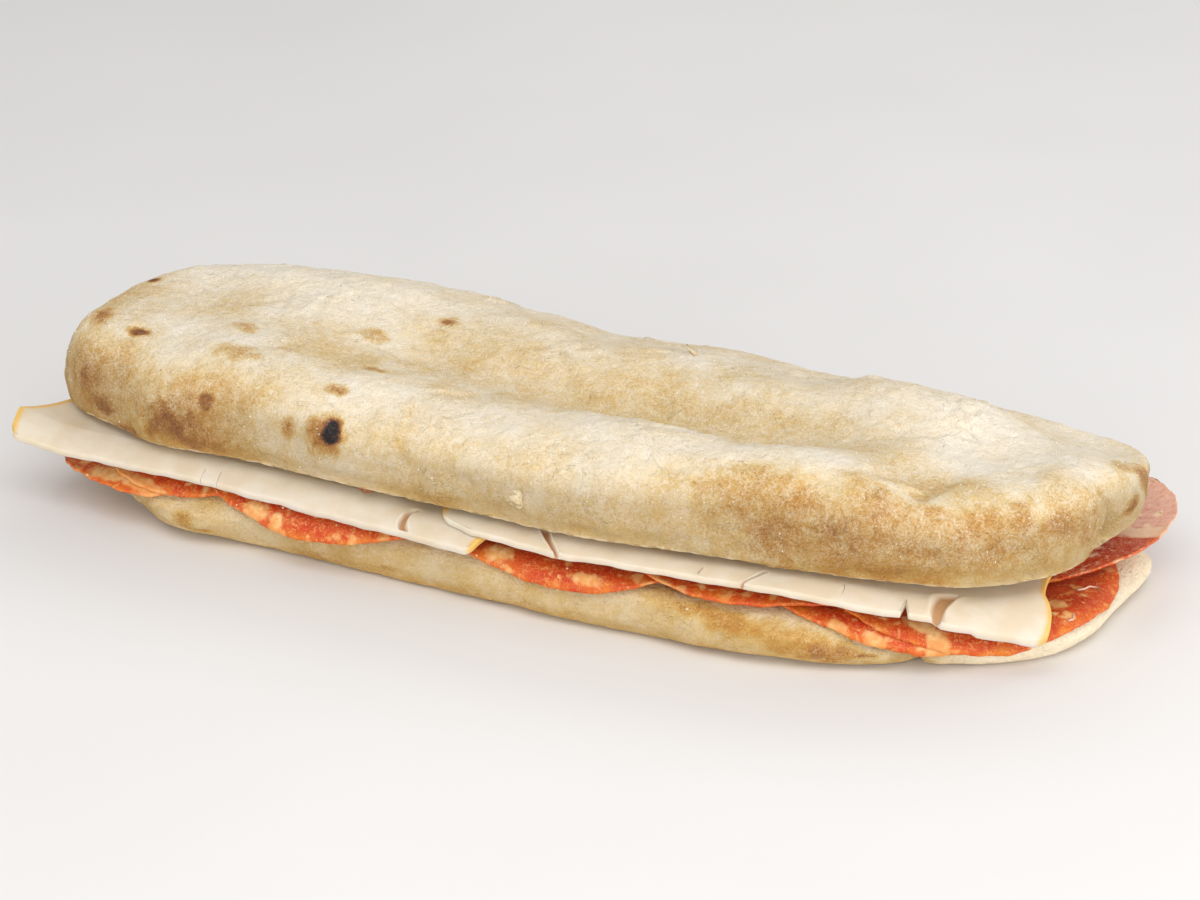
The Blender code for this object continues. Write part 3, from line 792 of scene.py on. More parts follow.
def planNormal(x, y):
    ux, uy = x / bed["halfLength"], y / bed["halfWidth"]
    n = np.where((ux > 0) & (uy > 0), bed["squarePower"], bed["power"]) - 1
    found = np.stack([np.sign(ux) * np.abs(ux) ** n / bed["halfLength"],
                      np.sign(uy) * np.abs(uy) ** n / bed["halfWidth"]], 1)
    return found / np.linalg.norm(found, axis=1)[:, None]


def pastBend(x, y):
    # how far each point lies past the start of the bend, the nearest place there and the way out;
    # only points near the rim need the true distance, the others lie on the level bed
    level = (np.abs(x) / bed["halfLength"]) ** 3 + (np.abs(y) / bed["halfWidth"]) ** 3
    outer = level > 0.42
    past = np.full(len(x), -9.0)
    near = np.stack([x, y], 1)
    away = np.tile([0.0, -1.0], (len(x), 1))
    past[outer], near[outer], away[outer] = pastRim(x[outer], y[outer])
    return past, near, away


def pastRim(x, y):
    gap = np.empty(len(x))
    near = np.empty((len(x), 2))
    follow = np.roll(rimPoints, -1, 0)
    run = follow - rimPoints
    for i in range(0, len(x), 2000):  # in batches, to spare memory
        part = slice(i, i + 2000)
        here = np.stack([x[part], y[part]], -1)[:, None, :]
        t = np.clip(((here - rimPoints[None]) * run[None]).sum(-1) / (run * run).sum(-1), 0, 1)
        spot = rimPoints[None] + run[None] * t[..., None]
        d = np.linalg.norm(here - spot, axis=-1)
        best = d.argmin(1)
        rows = np.arange(len(best))
        gap[part] = d[rows, best]
        near[part] = spot[rows, best]
    away = planNormal(near[:, 0], near[:, 1])
    side = np.where((x - near[:, 0]) * away[:, 0] + (y - near[:, 1]) * away[:, 1] > 0, 1, -1)
    return side * gap + bed["rim"], near - away * bed["rim"], away


def turnEnds(x, y, z):
    return np.stack([x, y + endTurn(x), z], 1)


def bentDown(base, away, past, height, limit):
    # round the rim as far as the limit angle, then straight on
    r = bed["rim"] + height
    angle = np.minimum(past / r, limit)
    rest = np.maximum(0, past - r * limit)
    out = r * np.sin(angle) + rest * np.cos(limit)
    z = bed["level"] - bed["rim"] + r * np.cos(angle) - rest * np.sin(limit) - bedDrop(base[:, 0])
    return base[:, 0] + away[:, 0] * out, base[:, 1] + away[:, 1] * out, z


def wrapRound(x, y, height):
    past, base, away = pastBend(x, y)
    bx, by, bz = bentDown(base, away, np.maximum(past, 0), height, steepest(base[:, 0]))
    level = past <= 0
    return turnEnds(np.where(level, x, bx), np.where(level, y, by),
                    np.where(level, bed["level"] + height - bedDrop(x), bz))


def wrapLevel(x, y, height):
    past, base, away = pastBend(x, y)
    curl = np.maximum(0, past) ** 2 / (2 * bed["curl"])
    return turnEnds(x, y, bed["level"] + height - bedDrop(x) + curl)


def wrapFront(x, y, height):
    line = -(bed["halfWidth"] - bed["rim"])
    past = np.maximum(0, line - y)
    base = np.stack([x, np.full(len(x), line)], 1)
    away = np.tile([0.0, -1.0], (len(x), 1))
    bx, by, bz = bentDown(base, away, past, height, math.radians(bed["slopes"][1]))
    z = np.where(y >= line, bed["level"] + height - bedDrop(x), bz)
    z = z + bed["tipLift"] * (np.maximum(0, bed["tipStart"] - x) / bed["tipLength"]) ** 2
    return np.stack([x, np.where(y >= line, y, by), z], 1)


# salami

salamiSettings = {
    "cells": 84,
    "bevel": 0.2,
    "paleSlice": "salami_end_2",
    "droop": 3.2,  # how far the front of the pale slice sags on to the one below
    "paleLine": (134, 33.5, 0.11),  # a place on the line and its slope
    "patternStep": (211.0, 97.0, 53.0),  # mm between the patterns of two slices
    "slices": [
        # name, centre, half length and width, level above the bed
        ("salami_front_1", (-103.3, -7.4), (37, 37), 0),
        ("salami_front_2", (-89.3, -8.7), (37, 37), 1),
        ("salami_front_3", (-49, -16.3), (46, 38), 2),
        ("salami_front_4", (15.5, -14), (47, 37.5), 1),
        ("salami_front_5", (61, -8.5), (47, 38), 2),
        ("salami_front_6", (95, -7.5), (44, 37.5), 0),
        ("salami_end_1", (106, -5), (37.3, 37.3), 1),
        ("salami_end_2", (111.5, 23.5), (36, 32), 5),
        ("salami_back_1", (-96, 14), (38, 38), 3),
        ("salami_back_2", (-34, 15), (40, 38), 4),
        ("salami_back_3", (33, 16), (40, 38), 3),
        ("salami_back_4", (76, 14), (37, 37), 4),
    ],
    # lumps of fat: centre and reach in mm
    "fat": [
        ((-113.6, -45.7), (8.0, 3.2)), ((-104.0, -47.0), (6.0, 2.0)), ((-67, -49.2), (4.5, 2.6)),
        ((-60, -50.5), (2.5, 2.0)), ((2, -45.7), (5.0, 3.2)), ((107.6, -30.8), (5.0, 2.6)),
        ((113.1, -32.7), (3.8, 3.4)), ((90, -40), (3.4, 2.2)), ((132.8, -4), (3.0, 3.0)),
        ((27, -47.5), (6.0, 1.6)), ((-98, -49), (5.0, 2.2)), ((99, -38.5), (3.6, 1.8)),
        ((134, -20), (3.0, 2.0)), ((44, -45), (5.0, 1.3)),
    ],
    "meat": (200, 64, 10),
    "deepMeat": (186, 42, 12),
    "paprika": (216, 118, 20),
    "lard": (244, 210, 146),
    "pinkLard": (234, 172, 100),
    "paleMeat": (236, 188, 166),
    "paleLard": (244, 220, 190),
}


def fatLumps(tree, place, scale, channel, reach, share):
    # cells of which only some, picked by one channel of their random colour, turn to fat
    cells = addNode(tree, "ShaderNodeTexVoronoi", {"Vector": place, "Scale": scale})
    picks = addNode(tree, "ShaderNodeSeparateColor", {"Color": cells.outputs["Color"]})
    body = band(tree, cells.outputs["Distance"], reach, 0.12)
    return times(tree, band(tree, picks.outputs[channel], *share), body)


def salamiMaterial(name, s, pale=False):
    made, tree, shader = newMaterial(name)
    place = attribute(tree, "flat", "Vector")
    chunk = attribute(tree, "fat")
    rim = attribute(tree, "rim")
    # the pattern wanders, so that no lump is round
    wander = addNode(tree, "ShaderNodeTexNoise", {"Vector": place, "Scale": 0.35, "Detail": 3.0})
    moved = vectorMaths(tree, "SUBTRACT", {0: wander.outputs["Color"], 1: (0.5, 0.5, 0.5)})
    moved = vectorMaths(tree, "SCALE", {0: moved, "Scale": 5.0})
    moved = vectorMaths(tree, "ADD", {0: place, 1: moved})
    # lumps of fat among the minced meat, large then small, then streaks, then the listed lumps
    large = fatLumps(tree, moved, 0.26, 0, 0.60, (0.60, 0.70))
    small = fatLumps(tree, moved, 0.58, 1, 0.58, (0.56, 0.68))
    streak = band(tree, noiseAt(tree, moved, 0.9, 4, 0.6, 1.2), 0.50, 0.74, 0, 0.75)
    fat = larger(tree, large, times(tree, small, 0.6))
    fat = larger(tree, fat, streak)
    ragged = plus(tree, chunk, spread(tree, noiseAt(tree, moved, 0.5, 2), 0.6))
    fat = larger(tree, fat, band(tree, ragged, 0.26, 0.80))
    # meat goes from deep red to paprika orange, most so at the rim
    tone = noiseAt(tree, place, 0.22, 4, 0.6, 0.5)
    toneShare = plus(tree, tone, times(tree, rim, 0.24))
    meat = mixColour(tree, band(tree, toneShare, 0.35, 0.62), toLinear(s["deepMeat"]),
                     toLinear(s["meat"]))
    meat = mixColour(tree, band(tree, toneShare, 0.58, 0.98), meat, toLinear(s["paprika"]))
    stain = noiseAt(tree, place, 0.5, 3)
    lard = mixColour(tree, band(tree, stain, 0.40, 0.66), toLinear(s["pinkLard"]),
                     toLinear(s["lard"]))
    if pale:
        uneven = band(tree, stain, 0.3, 0.6, 0.6, 0.95)
        blush = times(tree, attribute(tree, "pale"), uneven)
        meat = mixColour(tree, blush, meat, toLinear(s["paleMeat"]))
        lard = mixColour(tree, 0.75, lard, toLinear(s["paleLard"]))
    # paprika oil stains the fat at its edges and at the rim
    halo = band(tree, fat, 0.10, 0.70, 1, 0)
    oil = larger(tree, halo, times(tree, rim, 0.45))
    oily = mixColour(tree, oil, lard, toLinear(s["paprika"]))
    colour = mixColour(tree, times(tree, fat, 0.88), meat, oily)
    # threads of pale tissue
    thread = threadOf(tree, noiseAt(tree, moved, 0.42, 2, 0.5, 2.2), 0.022, 0.65)
    colour = mixColour(tree, thread, colour, toLinear(s["paleLard" if pale else "pinkLard"]))
    wet = band(tree, noiseAt(tree, place, 0.7, 3), 0.3, 0.7, 0.36, 0.6)
    height = plus(tree, times(tree, fat, 0.6), noiseAt(tree, place, 1.6, 3))
    feed(tree, shader, {
        "Base Color": colour, "Roughness": wet, "Specular IOR Level": 0.4,
        "Subsurface Weight": 0.05, "Subsurface Radius": (1.0, 0.35, 0.2),
        "Subsurface Scale": 0.0012, "Normal": bumpOf(tree, height, 0.55, 0.28),
    })
    return made


def salamiSlice(index, name, centre, size, level, s, material):
    bm = bmesh.new()
    bmesh.ops.create_grid(bm, x_segments=s["cells"], y_segments=s["cells"], size=1)
    flat = np.array([v.co[:] for v in bm.verts])
    u, v = flat[:, 0], flat[:, 1]
    # the square grid rounded to a disc, its rim uneven and ragged
    disc = np.stack([u * np.sqrt(1 - v * v / 2), v * np.sqrt(1 - u * u / 2)], 1)
    angle = np.arctan2(disc[:, 1], disc[:, 0])
    seed = 1.7 * index
    uneven = 1 + 0.012 * np.sin(3 * angle + seed) + 0.008 * np.sin(7 * angle + 2 * seed)
    radius = np.hypot(disc[:, 0], disc[:, 1])
    around = np.stack([np.cos(angle) * 14, np.sin(angle) * 14, np.full(len(angle), seed * 5)], 1)
    ragged = 0.018 * layers(around, 1.6, 201 + index, 3)
    disc = disc * (uneven + ragged * ease(0.8, 1, radius))[:, None]
    for vert, (x, y) in zip(bm.verts, disc * np.array(size) + np.array(centre)):
        vert.co = (x, y, 0)
    thickenSheet(bm, bed["salamiThick"], s["bevel"])
    mesh = meshFrom(bm, name)
    flat = getPoints(mesh)
    x, y = flat[:, 0], flat[:, 1]
    height = bed["gap"] + level * bed["salamiStep"] + flat[:, 2]
    last = name == s["paleSlice"]
    laid = (wrapLevel if last else wrapRound)(x, y, height)
    if last:
        laid[:, 2] -= s["droop"] * ease(20, -2, laid[:, 1]) * ease(112, 122, laid[:, 0])
    radius = np.hypot((x - centre[0]) / size[0], (y - centre[1]) / size[1])
    fat = np.zeros(len(x))
    for place, reach in s["fat"]:
        d = np.hypot((laid[:, 0] - place[0]) / reach[0], (laid[:, 1] - place[1]) / reach[1])
        fat = np.maximum(fat, bell(d))
    # the last slice turns pale past a line, with a vein of fat along it
    px, py, slope = s["paleLine"]
    above = laid[:, 1] - py - slope * (laid[:, 0] - px) + 1.2 * layers(laid, 5, 231, 2)
    if last:
        fat = np.maximum(fat, bell(above, 4.0) * ease(122, 129, laid[:, 0]))
    setPoints(mesh, toWorld(laid))
    setVector(mesh, "flat", flat + index * np.array(s["patternStep"]))
    setShares(mesh, fat=fat, rim=ease(0.90, 1.0, radius), pale=ease(1.0, 4.0, above))
    pieceName = "salami" + name.removeprefix("salami_").title().replace("_", "") + "Slice"
    return addPiece(pieceName, mesh, material, [name])


def salamiSlices(s):
    usual = salamiMaterial("spicySalami", s)
    pale = salamiMaterial("paleSalami", s, True)
    laid = [salamiSlice(index, *row, s, pale if row[0] == s["paleSlice"] else usual)
            for index, row in enumerate(s["slices"])]
    print("salami laid")
    return laid


# cheese

cheeseSettings = {
    "step": 1.0,
    "rows": 24,
    # distances behind the bend at which the flat part has its grid lines
    "behind": [0.6, 1.3, 2.2, 3.4, 5, 7, 9.5, 12.5, 16, 21, 28, 37, 48, 60, 74, 88],
    "backAt": 46,
    "backLimit": 44,
    "bevel": 0.28,
    "rindWidth": (2.2, 1.5),
    "left": {
        "name": "cheeseLeftSlice", "node": "cheese_left", "span": (-142, -3), "level": 0,
        "straight": True, "roll": 1.5,
        # how far each end leans aside at the bend, then further back: left and right
        "ends": (-1.5, 4.5), "endsBehind": (9, 0),
        # place along the edge and how far the slice hangs past the bend there
        "hem": [(-143.5, 7.4), (-138, 8.0), (-114, 7.4), (-98, 7.4), (-83, 7.1), (-68, 7.9),
                (-53, 8.7), (-38, 9.2), (-23, 9.7), (-3, 10.3)],
        # place along, overhang where it starts and ends, half width at both, lean, depth, bow
        "tears": [(-22.5, 1.8, 8.6, 0.5, 1.35, -0.10, 1.0, -1.3),
                  (-83.1, 4.4, 7.2, 0.12, 0.1, 0.0, 0.5, 0),
                  (-78.3, 4.0, 7.2, 0.12, 0.12, 0.05, 0.6, 0)],
        "notches": [],
    },
    "right": {
        "name": "cheeseRightSlice", "node": "cheese_right", "span": (-15, 132.4), "level": 1,
        "straight": False, "roll": 0.0,
        "ends": (0, 4.2), "endsBehind": (2, -3.5),
        "hem": [(-15, 3.0), (-11, 5.2), (-4, 7.0), (4, 7.2), (16, 8.3), (28, 7.5), (57, 7.0),
                (69, 7.2), (82, 7.8), (105, 8.6), (112.4, 8.8), (114.2, 10.0), (119.5, 11.2),
                (120.5, 12.2), (127, 13.6), (132.4, 16.0)],
        "tears": [(17.3, 1.0, 9.2, 1.25, 0.7, 0.95, 1.0, -0.6),
                  (56.7, 3.8, 5.6, 0.4, 0.25, -0.3, 0.9, 0),
                  (69.5, 1.8, 7.6, 0.8, 0.5, -0.85, 1.0, 0.3),
                  (91.0, 2.0, 5.0, 0.1, 0.08, 0.1, 0.4, 0.2),
                  (113.6, 0.5, 11.0, 2.6, 0.7, -0.20, 1.2, -0.9)],
        "notches": [(105.5, 3.6, 0.9)],  # place along, depth, half width
    },
    "ivory": (219, 208, 191),
    "warmIvory": (213, 198, 174),
    "rind": (224, 180, 96),
    # tan painted inside the tears: painted shade
    "tan": (186, 140, 98),
}


def cheeseMaterial(s):
    made, tree, shader = newMaterial("mildCheese")
    place = placeInMm(tree)
    cloud = noiseAt(tree, place, 0.12, 3, 0.5)
    warm = toLinear(s["warmIvory"])
    colour = mixColour(tree, band(tree, cloud, 0.35, 0.65), toLinear(s["ivory"]), warm)
    # faint stripes along the slice
    stripes = addNode(tree, "ShaderNodeMapping", {"Vector": place, "Scale": (0.12, 1.0, 1.0)})
    stripes = stripes.outputs[0]
    faint = noiseAt(tree, stripes, 0.8, 2)
    colour = mixColour(tree, band(tree, faint, 0.4, 0.75, 0, 0.25), colour, warm)
    uneven = spread(tree, noiseAt(tree, place, 0.6, 3), 0.35)
    edge = plus(tree, attribute(tree, "rind"), uneven)
    colour = mixColour(tree, band(tree, edge, 0.2, 0.95), colour, toLinear(s["rind"]))
    # the tears are painted tan: painted shade inside them
    colour = mixColour(tree, attribute(tree, "tear"), colour, toLinear(s["tan"]))
    gloss = band(tree, noiseAt(tree, place, 0.3, 2), 0.3, 0.7, 0.34, 0.46)
    fine = bumpOf(tree, noiseAt(tree, stripes, 1.4, 3), 0.25, 0.12)
    fine = bumpOf(tree, noiseAt(tree, place, 0.25, 2), 0.3, 0.4, fine)
    feed(tree, shader, {
        "Base Color": colour, "Roughness": gloss, "Specular IOR Level": 0.4,
        "Subsurface Weight": 0.6, "Subsurface Radius": (1.0, 0.78, 0.55),
        "Subsurface Scale": 0.004, "Normal": fine,
    })
    return made


def cheeseLines(start, end, step, tears, notches):
    # places of the grid lines along the slice, closer together at tears and notches
    lines = list(np.linspace(start, end, int(round((end - start) / step)) + 1))
    for tear in tears:
        wide = max(tear[3], tear[4])
        offsets = [0, 0.35 * wide, 0.8 * wide, wide]
        offsets += [1.2 * wide + 0.1, 1.7 * wide + 0.2, 2.3 * wide + 0.4]
        lines += [tear[0] + sign * o for o in offsets for sign in (-1, 1)]
    for place, depth, wide in notches:
        shares = (0, 0.25, 0.5, 0.75, 1, 1.3)
        lines += [place + sign * o * wide for o in shares for sign in (-1, 1)]
    lines = sorted(v for v in lines if start <= v <= end)
    kept = [lines[0]]
    for value in lines[1:]:
        if value - kept[-1] > 0.06:
            kept.append(value)
    kept[-1] = end
    return np.array(kept)


def tearLean(tear, past):
    # how far the middle of a tear stands aside at each overhang
    place, start, end, wideStart, wideEnd, slope, depth, bow = tear
    share = np.clip((past - start) / (end - start), -0.2, 1.3)
    return (slope * (past - (start + end) / 2) + bow * (1 - (2 * share - 1) ** 2)) * (past > 0)


def edgeOf(px, py, i, column):
    # one end of the flat slice, as places for interp
    chosen = i == column
    order = np.argsort(py[chosen])
    return py[chosen][order], px[chosen][order]


def cheeseSlice(s, own, material):
    # own: the settings of this slice; past is how far a point hangs beyond the bend
    left, right = own["span"]
    hem, tears = own["hem"], own["tears"]
    frontLine = -(bed["halfWidth"] - bed["rim"])
    lines = cheeseLines(left, right, s["step"], tears, own["notches"])
    hang = np.interp(lines, *zip(*hem)) + 0.10 * np.sin(lines / 2.9) + 0.07 * np.sin(lines / 1.13)
    # corners are rounded and notches cut in
    corner = np.minimum(lines - left, right - lines)
    hang = hang - 1.4 * np.maximum(0, 1 - corner / 2.2) ** 2
    for place, depth, wide in own["notches"]:
        hang = hang - depth * np.maximum(0, 1 - np.abs(lines - place) / wide)
    rows, cols = s["rows"], len(lines) - 1
    total = rows + len(s["behind"])
    bm = bmesh.new()
    bmesh.ops.create_grid(bm, x_segments=cols, y_segments=total, size=1)
    grid = np.array([v.co[:] for v in bm.verts])
    i = np.rint((grid[:, 0] + 1) / 2 * cols).astype(int)
    j = np.rint((grid[:, 1] + 1) / 2 * total).astype(int)
    behind = -np.concatenate([[0], s["behind"]])[np.maximum(0, j - rows)]
    past = np.where(j <= rows, hang[i] * (1 - j / rows), behind)
    x = lines[i]
    # tears lean with the overhang
    lean = np.zeros(len(x))
    for tear in tears:
        lean += tearLean(tear, past) * bell(x - tear[0], 4)
    x = x + lean
    share = (x - left) / (right - left)
    hung = np.maximum(past, 0)
    atBend = 1 - hung / np.maximum(hang[i], 0.1)
    atRight = ease(0.90, 1, share)
    ends = own["ends"][0] * ease(0.12, 0, share)
    ends = ends + own["ends"][1] * atRight * (1 if own["straight"] else 2 - atBend)
    if own["straight"]:
        px, py = x, frontLine - hung
        back = s["backAt"] - frontLine
    else:
        uy = -(1 - np.abs(x / bed["halfLength"]) ** bed["power"]) ** (1 / bed["power"])
        away = planNormal(x, uy * bed["halfWidth"])
        px = x + away[:, 0] * (hung - bed["rim"])
        py = uy * bed["halfWidth"] + away[:, 1] * (hung - bed["rim"])
        back = s["backAt"] - py
    px = px + ends * atBend
    # the back is a rounded half-moon
    halfMoon = (1 - np.minimum(1, np.abs(2 * share - 1)) ** 2.667) ** 0.375
    reach = np.maximum(back * halfMoon, 14)
    deep = np.where(past < 0, -past, 0)
    farBack = s["behind"][-1]
    settled = ease(0, farBack, deep)
    py = py + np.where(deep > 0, deep / farBack * reach * settled + deep * (1 - settled), 0)
    py = np.minimum(py, s["backLimit"])
    endsBehind = own["endsBehind"][0] * ease(0.25, 0, share) + own["endsBehind"][1] * atRight
    px = px + endsBehind * (1 - np.exp(-deep / 9))
    for vert, a, b in zip(bm.verts, px, py):
        vert.co = (a, b, 0)
    bmesh.ops.remove_doubles(bm, verts=bm.verts, dist=0.01)
    thickenSheet(bm, bed["cheeseThick"], s["bevel"])
    mesh = meshFrom(bm, own["name"])
    # from here on each point of the thick slice: how far it hangs, and its place along the edge
    x, y, z = getPoints(mesh).T
    if own["straight"]:
        past, along = frontLine - y, x
    else:
        past, base, away = pastBend(x, y)
        along = base[:, 0] + away[:, 0] * bed["rim"]
    top = ease(0.4, 1.2, z)
    # share of the painted shade inside the tears
    tearShade = np.zeros(len(x))
    for tear in tears:
        place, start, end, wideStart, wideEnd, slope, depth, bow = tear
        t = np.clip((past - start) / (end - start), 0, 1)
        wide = wideStart + (wideEnd - wideStart) * t
        within = ease(start - 0.5, start + 0.2, past) * ease(end + 0.6, end - 0.1, past)
        d = np.abs(along - (place + tearLean(tear, past))) / wide
        groove = ease(1.12, 0.72, d) * within
        z = z - groove * top * depth * np.minimum(1, z / 0.8)
        z = z + 0.28 * bell(d - 1.35, 0.3) * within * top * min(1, 2 * wide.max())
        tearShade = np.maximum(tearShade, ease(1.0, 0.55, d) * within * top)
    wave = 0.12 * np.sin(along / 5.3) + 0.10 * np.sin(along / 2.4 + 1)
    base = bed["cheeseBase"] + own["level"] * bed["cheeseStep"]
    height = base + z + wave * ease(4, 9, past) * 0.8
    # the left slice rolls up a little towards its bend
    rolled = np.clip(1 - np.maximum(past, 0) / np.interp(along, *zip(*hem)), 0, 1)
    height = height + own["roll"] * rolled * ease(-18, -34, along)
    laid = (wrapFront if own["straight"] else wrapRound)(x, y, height)
    # rind along both ends
    leftEdge = np.interp(y, *edgeOf(px, py, i, 0))
    rightEdge = np.interp(y, *edgeOf(px, py, i, cols))
    wideLeft, wideRight = s["rindWidth"]
    rind = np.maximum(bell(x - leftEdge, wideLeft), bell(rightEdge - x, wideRight))
    setPoints(mesh, toWorld(laid))
    setShares(mesh, rind=rind, tear=tearShade)
    return addPiece(own["name"], mesh, material, [own["node"]])


def cheeseSlices(s):
    made = cheeseMaterial(s)
    laid = [cheeseSlice(s, s[side], made) for side in ("left", "right")]
    print("cheese laid")
    return laid


# small loose things: flour, crumbs, flakes, shreds of fat

smallSettings = {
    "flour": {"count": 1100, "size": (0.10, 0.26), "colour": (250, 243, 230)},
    "crumbs": {"count": 70, "size": (0.20, 0.48), "colour": (234, 212, 172)},
    "charred": {"count": 26, "size": (0.10, 0.22), "colour": (178, 140, 102)},
    # a baked lump hangs at the lip: places and sizes of the balls that it is made of
    "lump": [((-35.8, -46.6, 23.0), 1.0), ((-34.2, -46.6, 22.7), 0.75),
             ((-37.2, -46.6, 23.3), 0.7)],
    "lumpColour": (158, 98, 60),
    # place, radius, lift of the free side, turn
    "flakes": [((8.7, -48.5, 32.7), 2.4, 0.7, 0.4), ((22, 22.7, 47.1), 2.2, 1.3, 1.0),
               ((-64, 50, 36), 2.0, 0.4, 0.9), ((34, 50, 34), 2.2, 0.4, 2.0)],
    "flakeThick": 0.28,
    # paths in x and y, laid on whatever slice is uppermost there
    "shreds": [[(134.6, 5.0), (136.0, 6.4), (136.6, 8.2), (138.4, 8.8), (139.4, 7.8)],
               [(137.4, -9.2), (138.1, -8.0), (137.7, -6.4)]],
    "shredRadius": 0.26,
    "shredColour": (240, 206, 178),
}


def plainMaterial(name, colour, roughness, grain):
    made, tree, shader = newMaterial(name)
    place = placeInMm(tree)
    deeper = tuple(v * 0.72 for v in toLinear(colour)[:3]) + (1,)
    tone = band(tree, noiseAt(tree, place, grain, 3), 0.3, 0.7)
    feed(tree, shader, {"Base Color": mixColour(tree, tone, deeper, toLinear(colour)),
                        "Roughness": roughness,
                        "Normal": bumpOf(tree, noiseAt(tree, place, grain * 2, 3), 0.4, 0.15)})
    return made


def strew(name, hosts, s, seed, detail, material, weigh):
    # grains lie half sunk on chosen points of the pieces below them; weigh says where they may
    rng = np.random.default_rng(seed)
    points = np.concatenate([getPoints(host.data) for host in hosts])
    normals = np.concatenate([getNormals(host.data) for host in hosts])
    weights = weigh(toBread(points), normals)
    chosen = rng.choice(len(points), s["count"], replace=False, p=weights / weights.sum())
    bm = bmesh.new()
    for i in chosen:
        size = rng.uniform(*s["size"]) * mm
        turn = Euler(rng.uniform(0, 6.28, 3)).to_matrix().to_4x4()
        squash = Matrix.Diagonal((1, rng.uniform(0.6, 1), rng.uniform(0.5, 0.9), 1))
        place = Matrix.Translation(Vector(points[i] + normals[i] * size * 0.35)) @ turn @ squash
        made = bmesh.ops.create_icosphere(bm, subdivisions=detail, radius=size, matrix=place)
        for vert in made["verts"]:
            vert.co += Vector(rng.uniform(-1, 1, 3)) * size * 0.16
    return addPiece(name, meshFrom(bm, name), material)


def lipLump(host, s, material):
    surface = surfaceOf(host)
    bm = bmesh.new()
    for place, size in s["lump"]:
        spot = surface.find_nearest(Vector(toWorld(place)))[0]
        verts = bmesh.ops.create_icosphere(bm, subdivisions=3, radius=size * mm,
                                           matrix=Matrix.Translation(spot))["verts"]
        shift = rough(toBread([v.co[:] for v in verts]), 0.9, 171) * 0.5
        for vert, out in zip(verts, shift):
            vert.co = spot + (vert.co - spot) * (1 + out)
    return addPiece("lipLump", meshFrom(bm, "lipLump"), material)


def looseFlakes(host, s, material):
    surface = surfaceOf(host)
    bm = bmesh.new()
    for number, (place, radius, lift, turn) in enumerate(s["flakes"]):
        spot, normal = surface.find_nearest(Vector(toWorld(place)))[:2]
        disc = bmesh.ops.create_circle(bm, cap_ends=True, radius=radius, segments=18)
        face = disc["verts"][0].link_faces[0]
        bmesh.ops.inset_region(bm, faces=[face], thickness=radius * 0.45)
        skin = once([f for v in disc["verts"] for f in v.link_faces] + [face])
        upper = newVerts(bmesh.ops.extrude_face_region(bm, geom=skin))
        bmesh.ops.translate(bm, verts=upper, vec=(0, 0, s["flakeThick"]))
        verts = once([v for f in skin if f.is_valid for v in f.verts] + upper)
        spin = Matrix.Rotation(turn, 4, "Z")
        stand = normal.to_track_quat("Z", "Y").to_matrix().to_4x4()
        for vert in verts:
            x, y, z = vert.co
            ragged = 1 + 0.16 * math.sin(3 * math.atan2(y, x) + number)
            raised = -0.30 + lift * max(0.0, x / radius + 0.2) ** 2 + 0.25 * (y / radius) ** 2
            vert.co = Vector((x * ragged * 0.8, y * ragged, z + raised)) * mm
            vert.co = spot + stand @ (spin @ vert.co)
    bmesh.ops.recalc_face_normals(bm, faces=bm.faces)
    mesh = meshFrom(bm, "crustFlakes")
    count = len(mesh.vertices)
    setShares(mesh, bake=np.full(count, 0.24), flour=np.full(count, 0.35))
    return addPiece("crustFlakes", mesh, material)


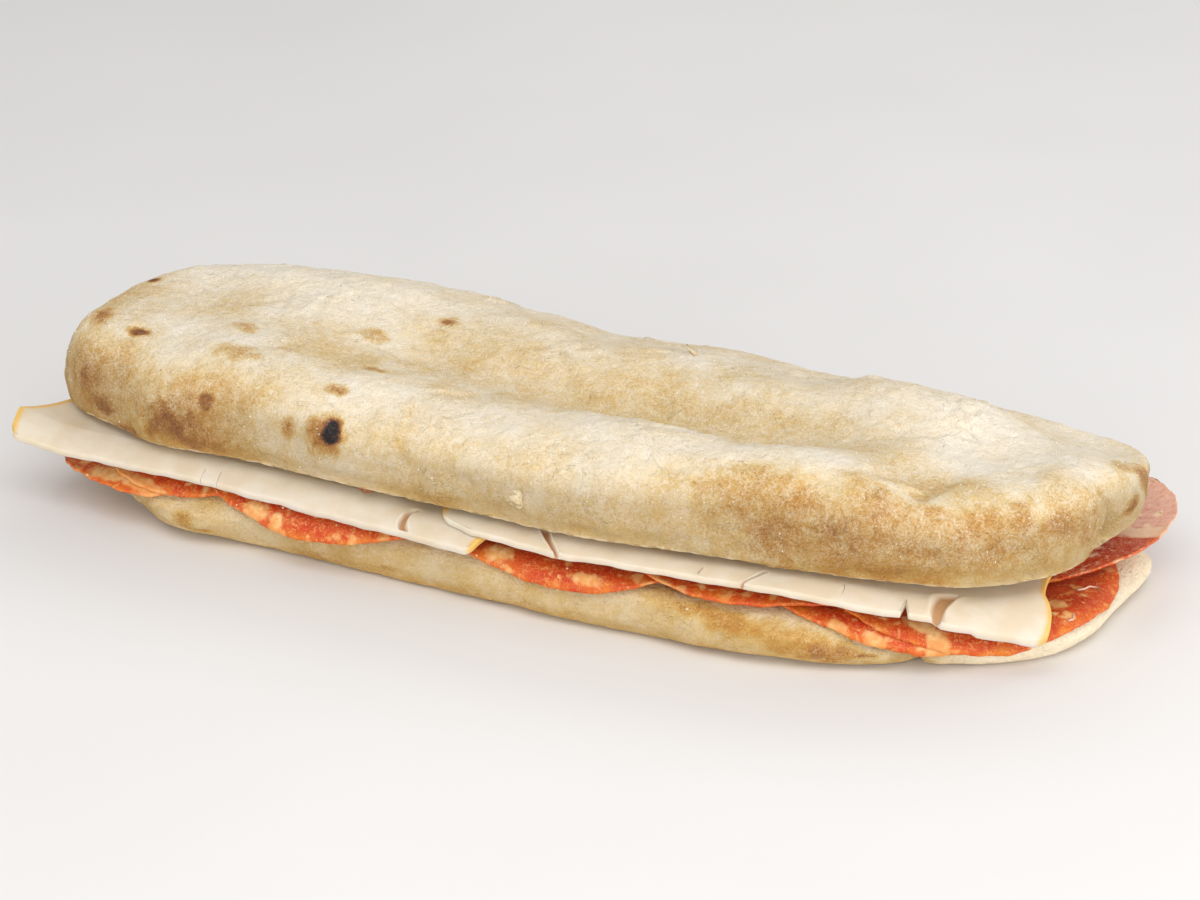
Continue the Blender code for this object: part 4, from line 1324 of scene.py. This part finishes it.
def fatShreds(hosts, s, material):
    surfaces = [surfaceOf(host) for host in hosts]
    down = Vector((0, 0, -1))
    bm = bmesh.new()
    for path in s["shreds"]:
        laid = []
        for x, y in path:
            above = Vector(toWorld((x, y, 60)))
            hits = [surface.ray_cast(above, down)[0] for surface in surfaces]
            uppermost = max((hit for hit in hits if hit), key=lambda hit: hit.z)
            laid.append(uppermost + Vector((0, 0, 0.28 * mm)))
        ahead = laid[1] - laid[0]
        stand = Matrix.Translation(laid[0]) @ ahead.to_track_quat("Z", "Y").to_matrix().to_4x4()
        ring = bmesh.ops.create_circle(bm, cap_ends=True, radius=s["shredRadius"] * mm, segments=8,
                                       matrix=stand)
        edges = once(e for v in ring["verts"] for e in v.link_edges)
        for start, end in zip(laid[:-1], laid[1:]):
            grown = bmesh.ops.extrude_edge_only(bm, edges=edges)
            edges = [item for item in grown["geom"] if isinstance(item, bmesh.types.BMEdge)]
            bmesh.ops.translate(bm, verts=newVerts(grown), vec=end - start)
        bmesh.ops.holes_fill(bm, edges=edges)
    bmesh.ops.recalc_face_normals(bm, faces=bm.faces)
    return addPiece("fatShreds", meshFrom(bm, "fatShreds"), material)


def onTop(p, n):
    z, up = p[:, 2], n[:, 2]
    return ease(-0.1, 0.5, up) * ease(20, 26, z) + 0.05 * ease(0.8, 0.3, np.abs(up))


def roundFilling(p, n):
    y, z, up = p[:, 1], p[:, 2], n[:, 2]
    filling = ease(0.1, 0.6, up) * ease(3, 5, z) * ease(24, 20, z) * ease(38, 46, np.abs(y))
    return filling + 0.02 * ease(0.6, 0.9, up) * ease(34, 38, z)


def topAndFoot(p, n):
    z, up = p[:, 2], n[:, 2]
    foot = 0.4 * ease(5, 3, z) * ease(0.7, 0.3, np.abs(up))
    return ease(-0.2, 0.3, up) * ease(22, 26, z) + foot


def smallPieces(s, top, bottom, slices, crust):
    breads = [top, bottom]
    flour = plainMaterial("looseFlour", s["flour"]["colour"], 0.95, 2.0)
    crumb = plainMaterial("looseCrumb", s["crumbs"]["colour"], 0.9, 1.2)
    dark = plainMaterial("charredCrumb", s["charred"]["colour"], 0.9, 1.5)
    strew("flourGrains", breads, s["flour"], 11, 1, flour, onTop)
    strew("breadCrumbs", [*breads, *slices[:8]], s["crumbs"], 12, 2, crumb, roundFilling)
    strew("charredCrumbs", breads, s["charred"], 13, 1, dark, topAndFoot)
    looseFlakes(top, s, crust)
    lipLump(top, s, plainMaterial("bakedLump", s["lumpColour"], 0.8, 1.4))
    fatShreds(slices, s, plainMaterial("whiteFat", s["shredColour"], 0.4, 1.0))
    print("small pieces strewn")


# everything together

addCamera(viewSettings)
addLights(lightSettings)
addFloor(lightSettings)
bpy.context.scene.view_settings.view_transform = "Standard"
print("studio ready")
top = topBread(topSettings)
print("top bread done")
bottom = bottomBread(bottomSettings)
print("bottom bread done")
slices = salamiSlices(salamiSettings) + cheeseSlices(cheeseSettings)
smallPieces(smallSettings, top, bottom, slices, bpy.data.materials["flouryCrust"])
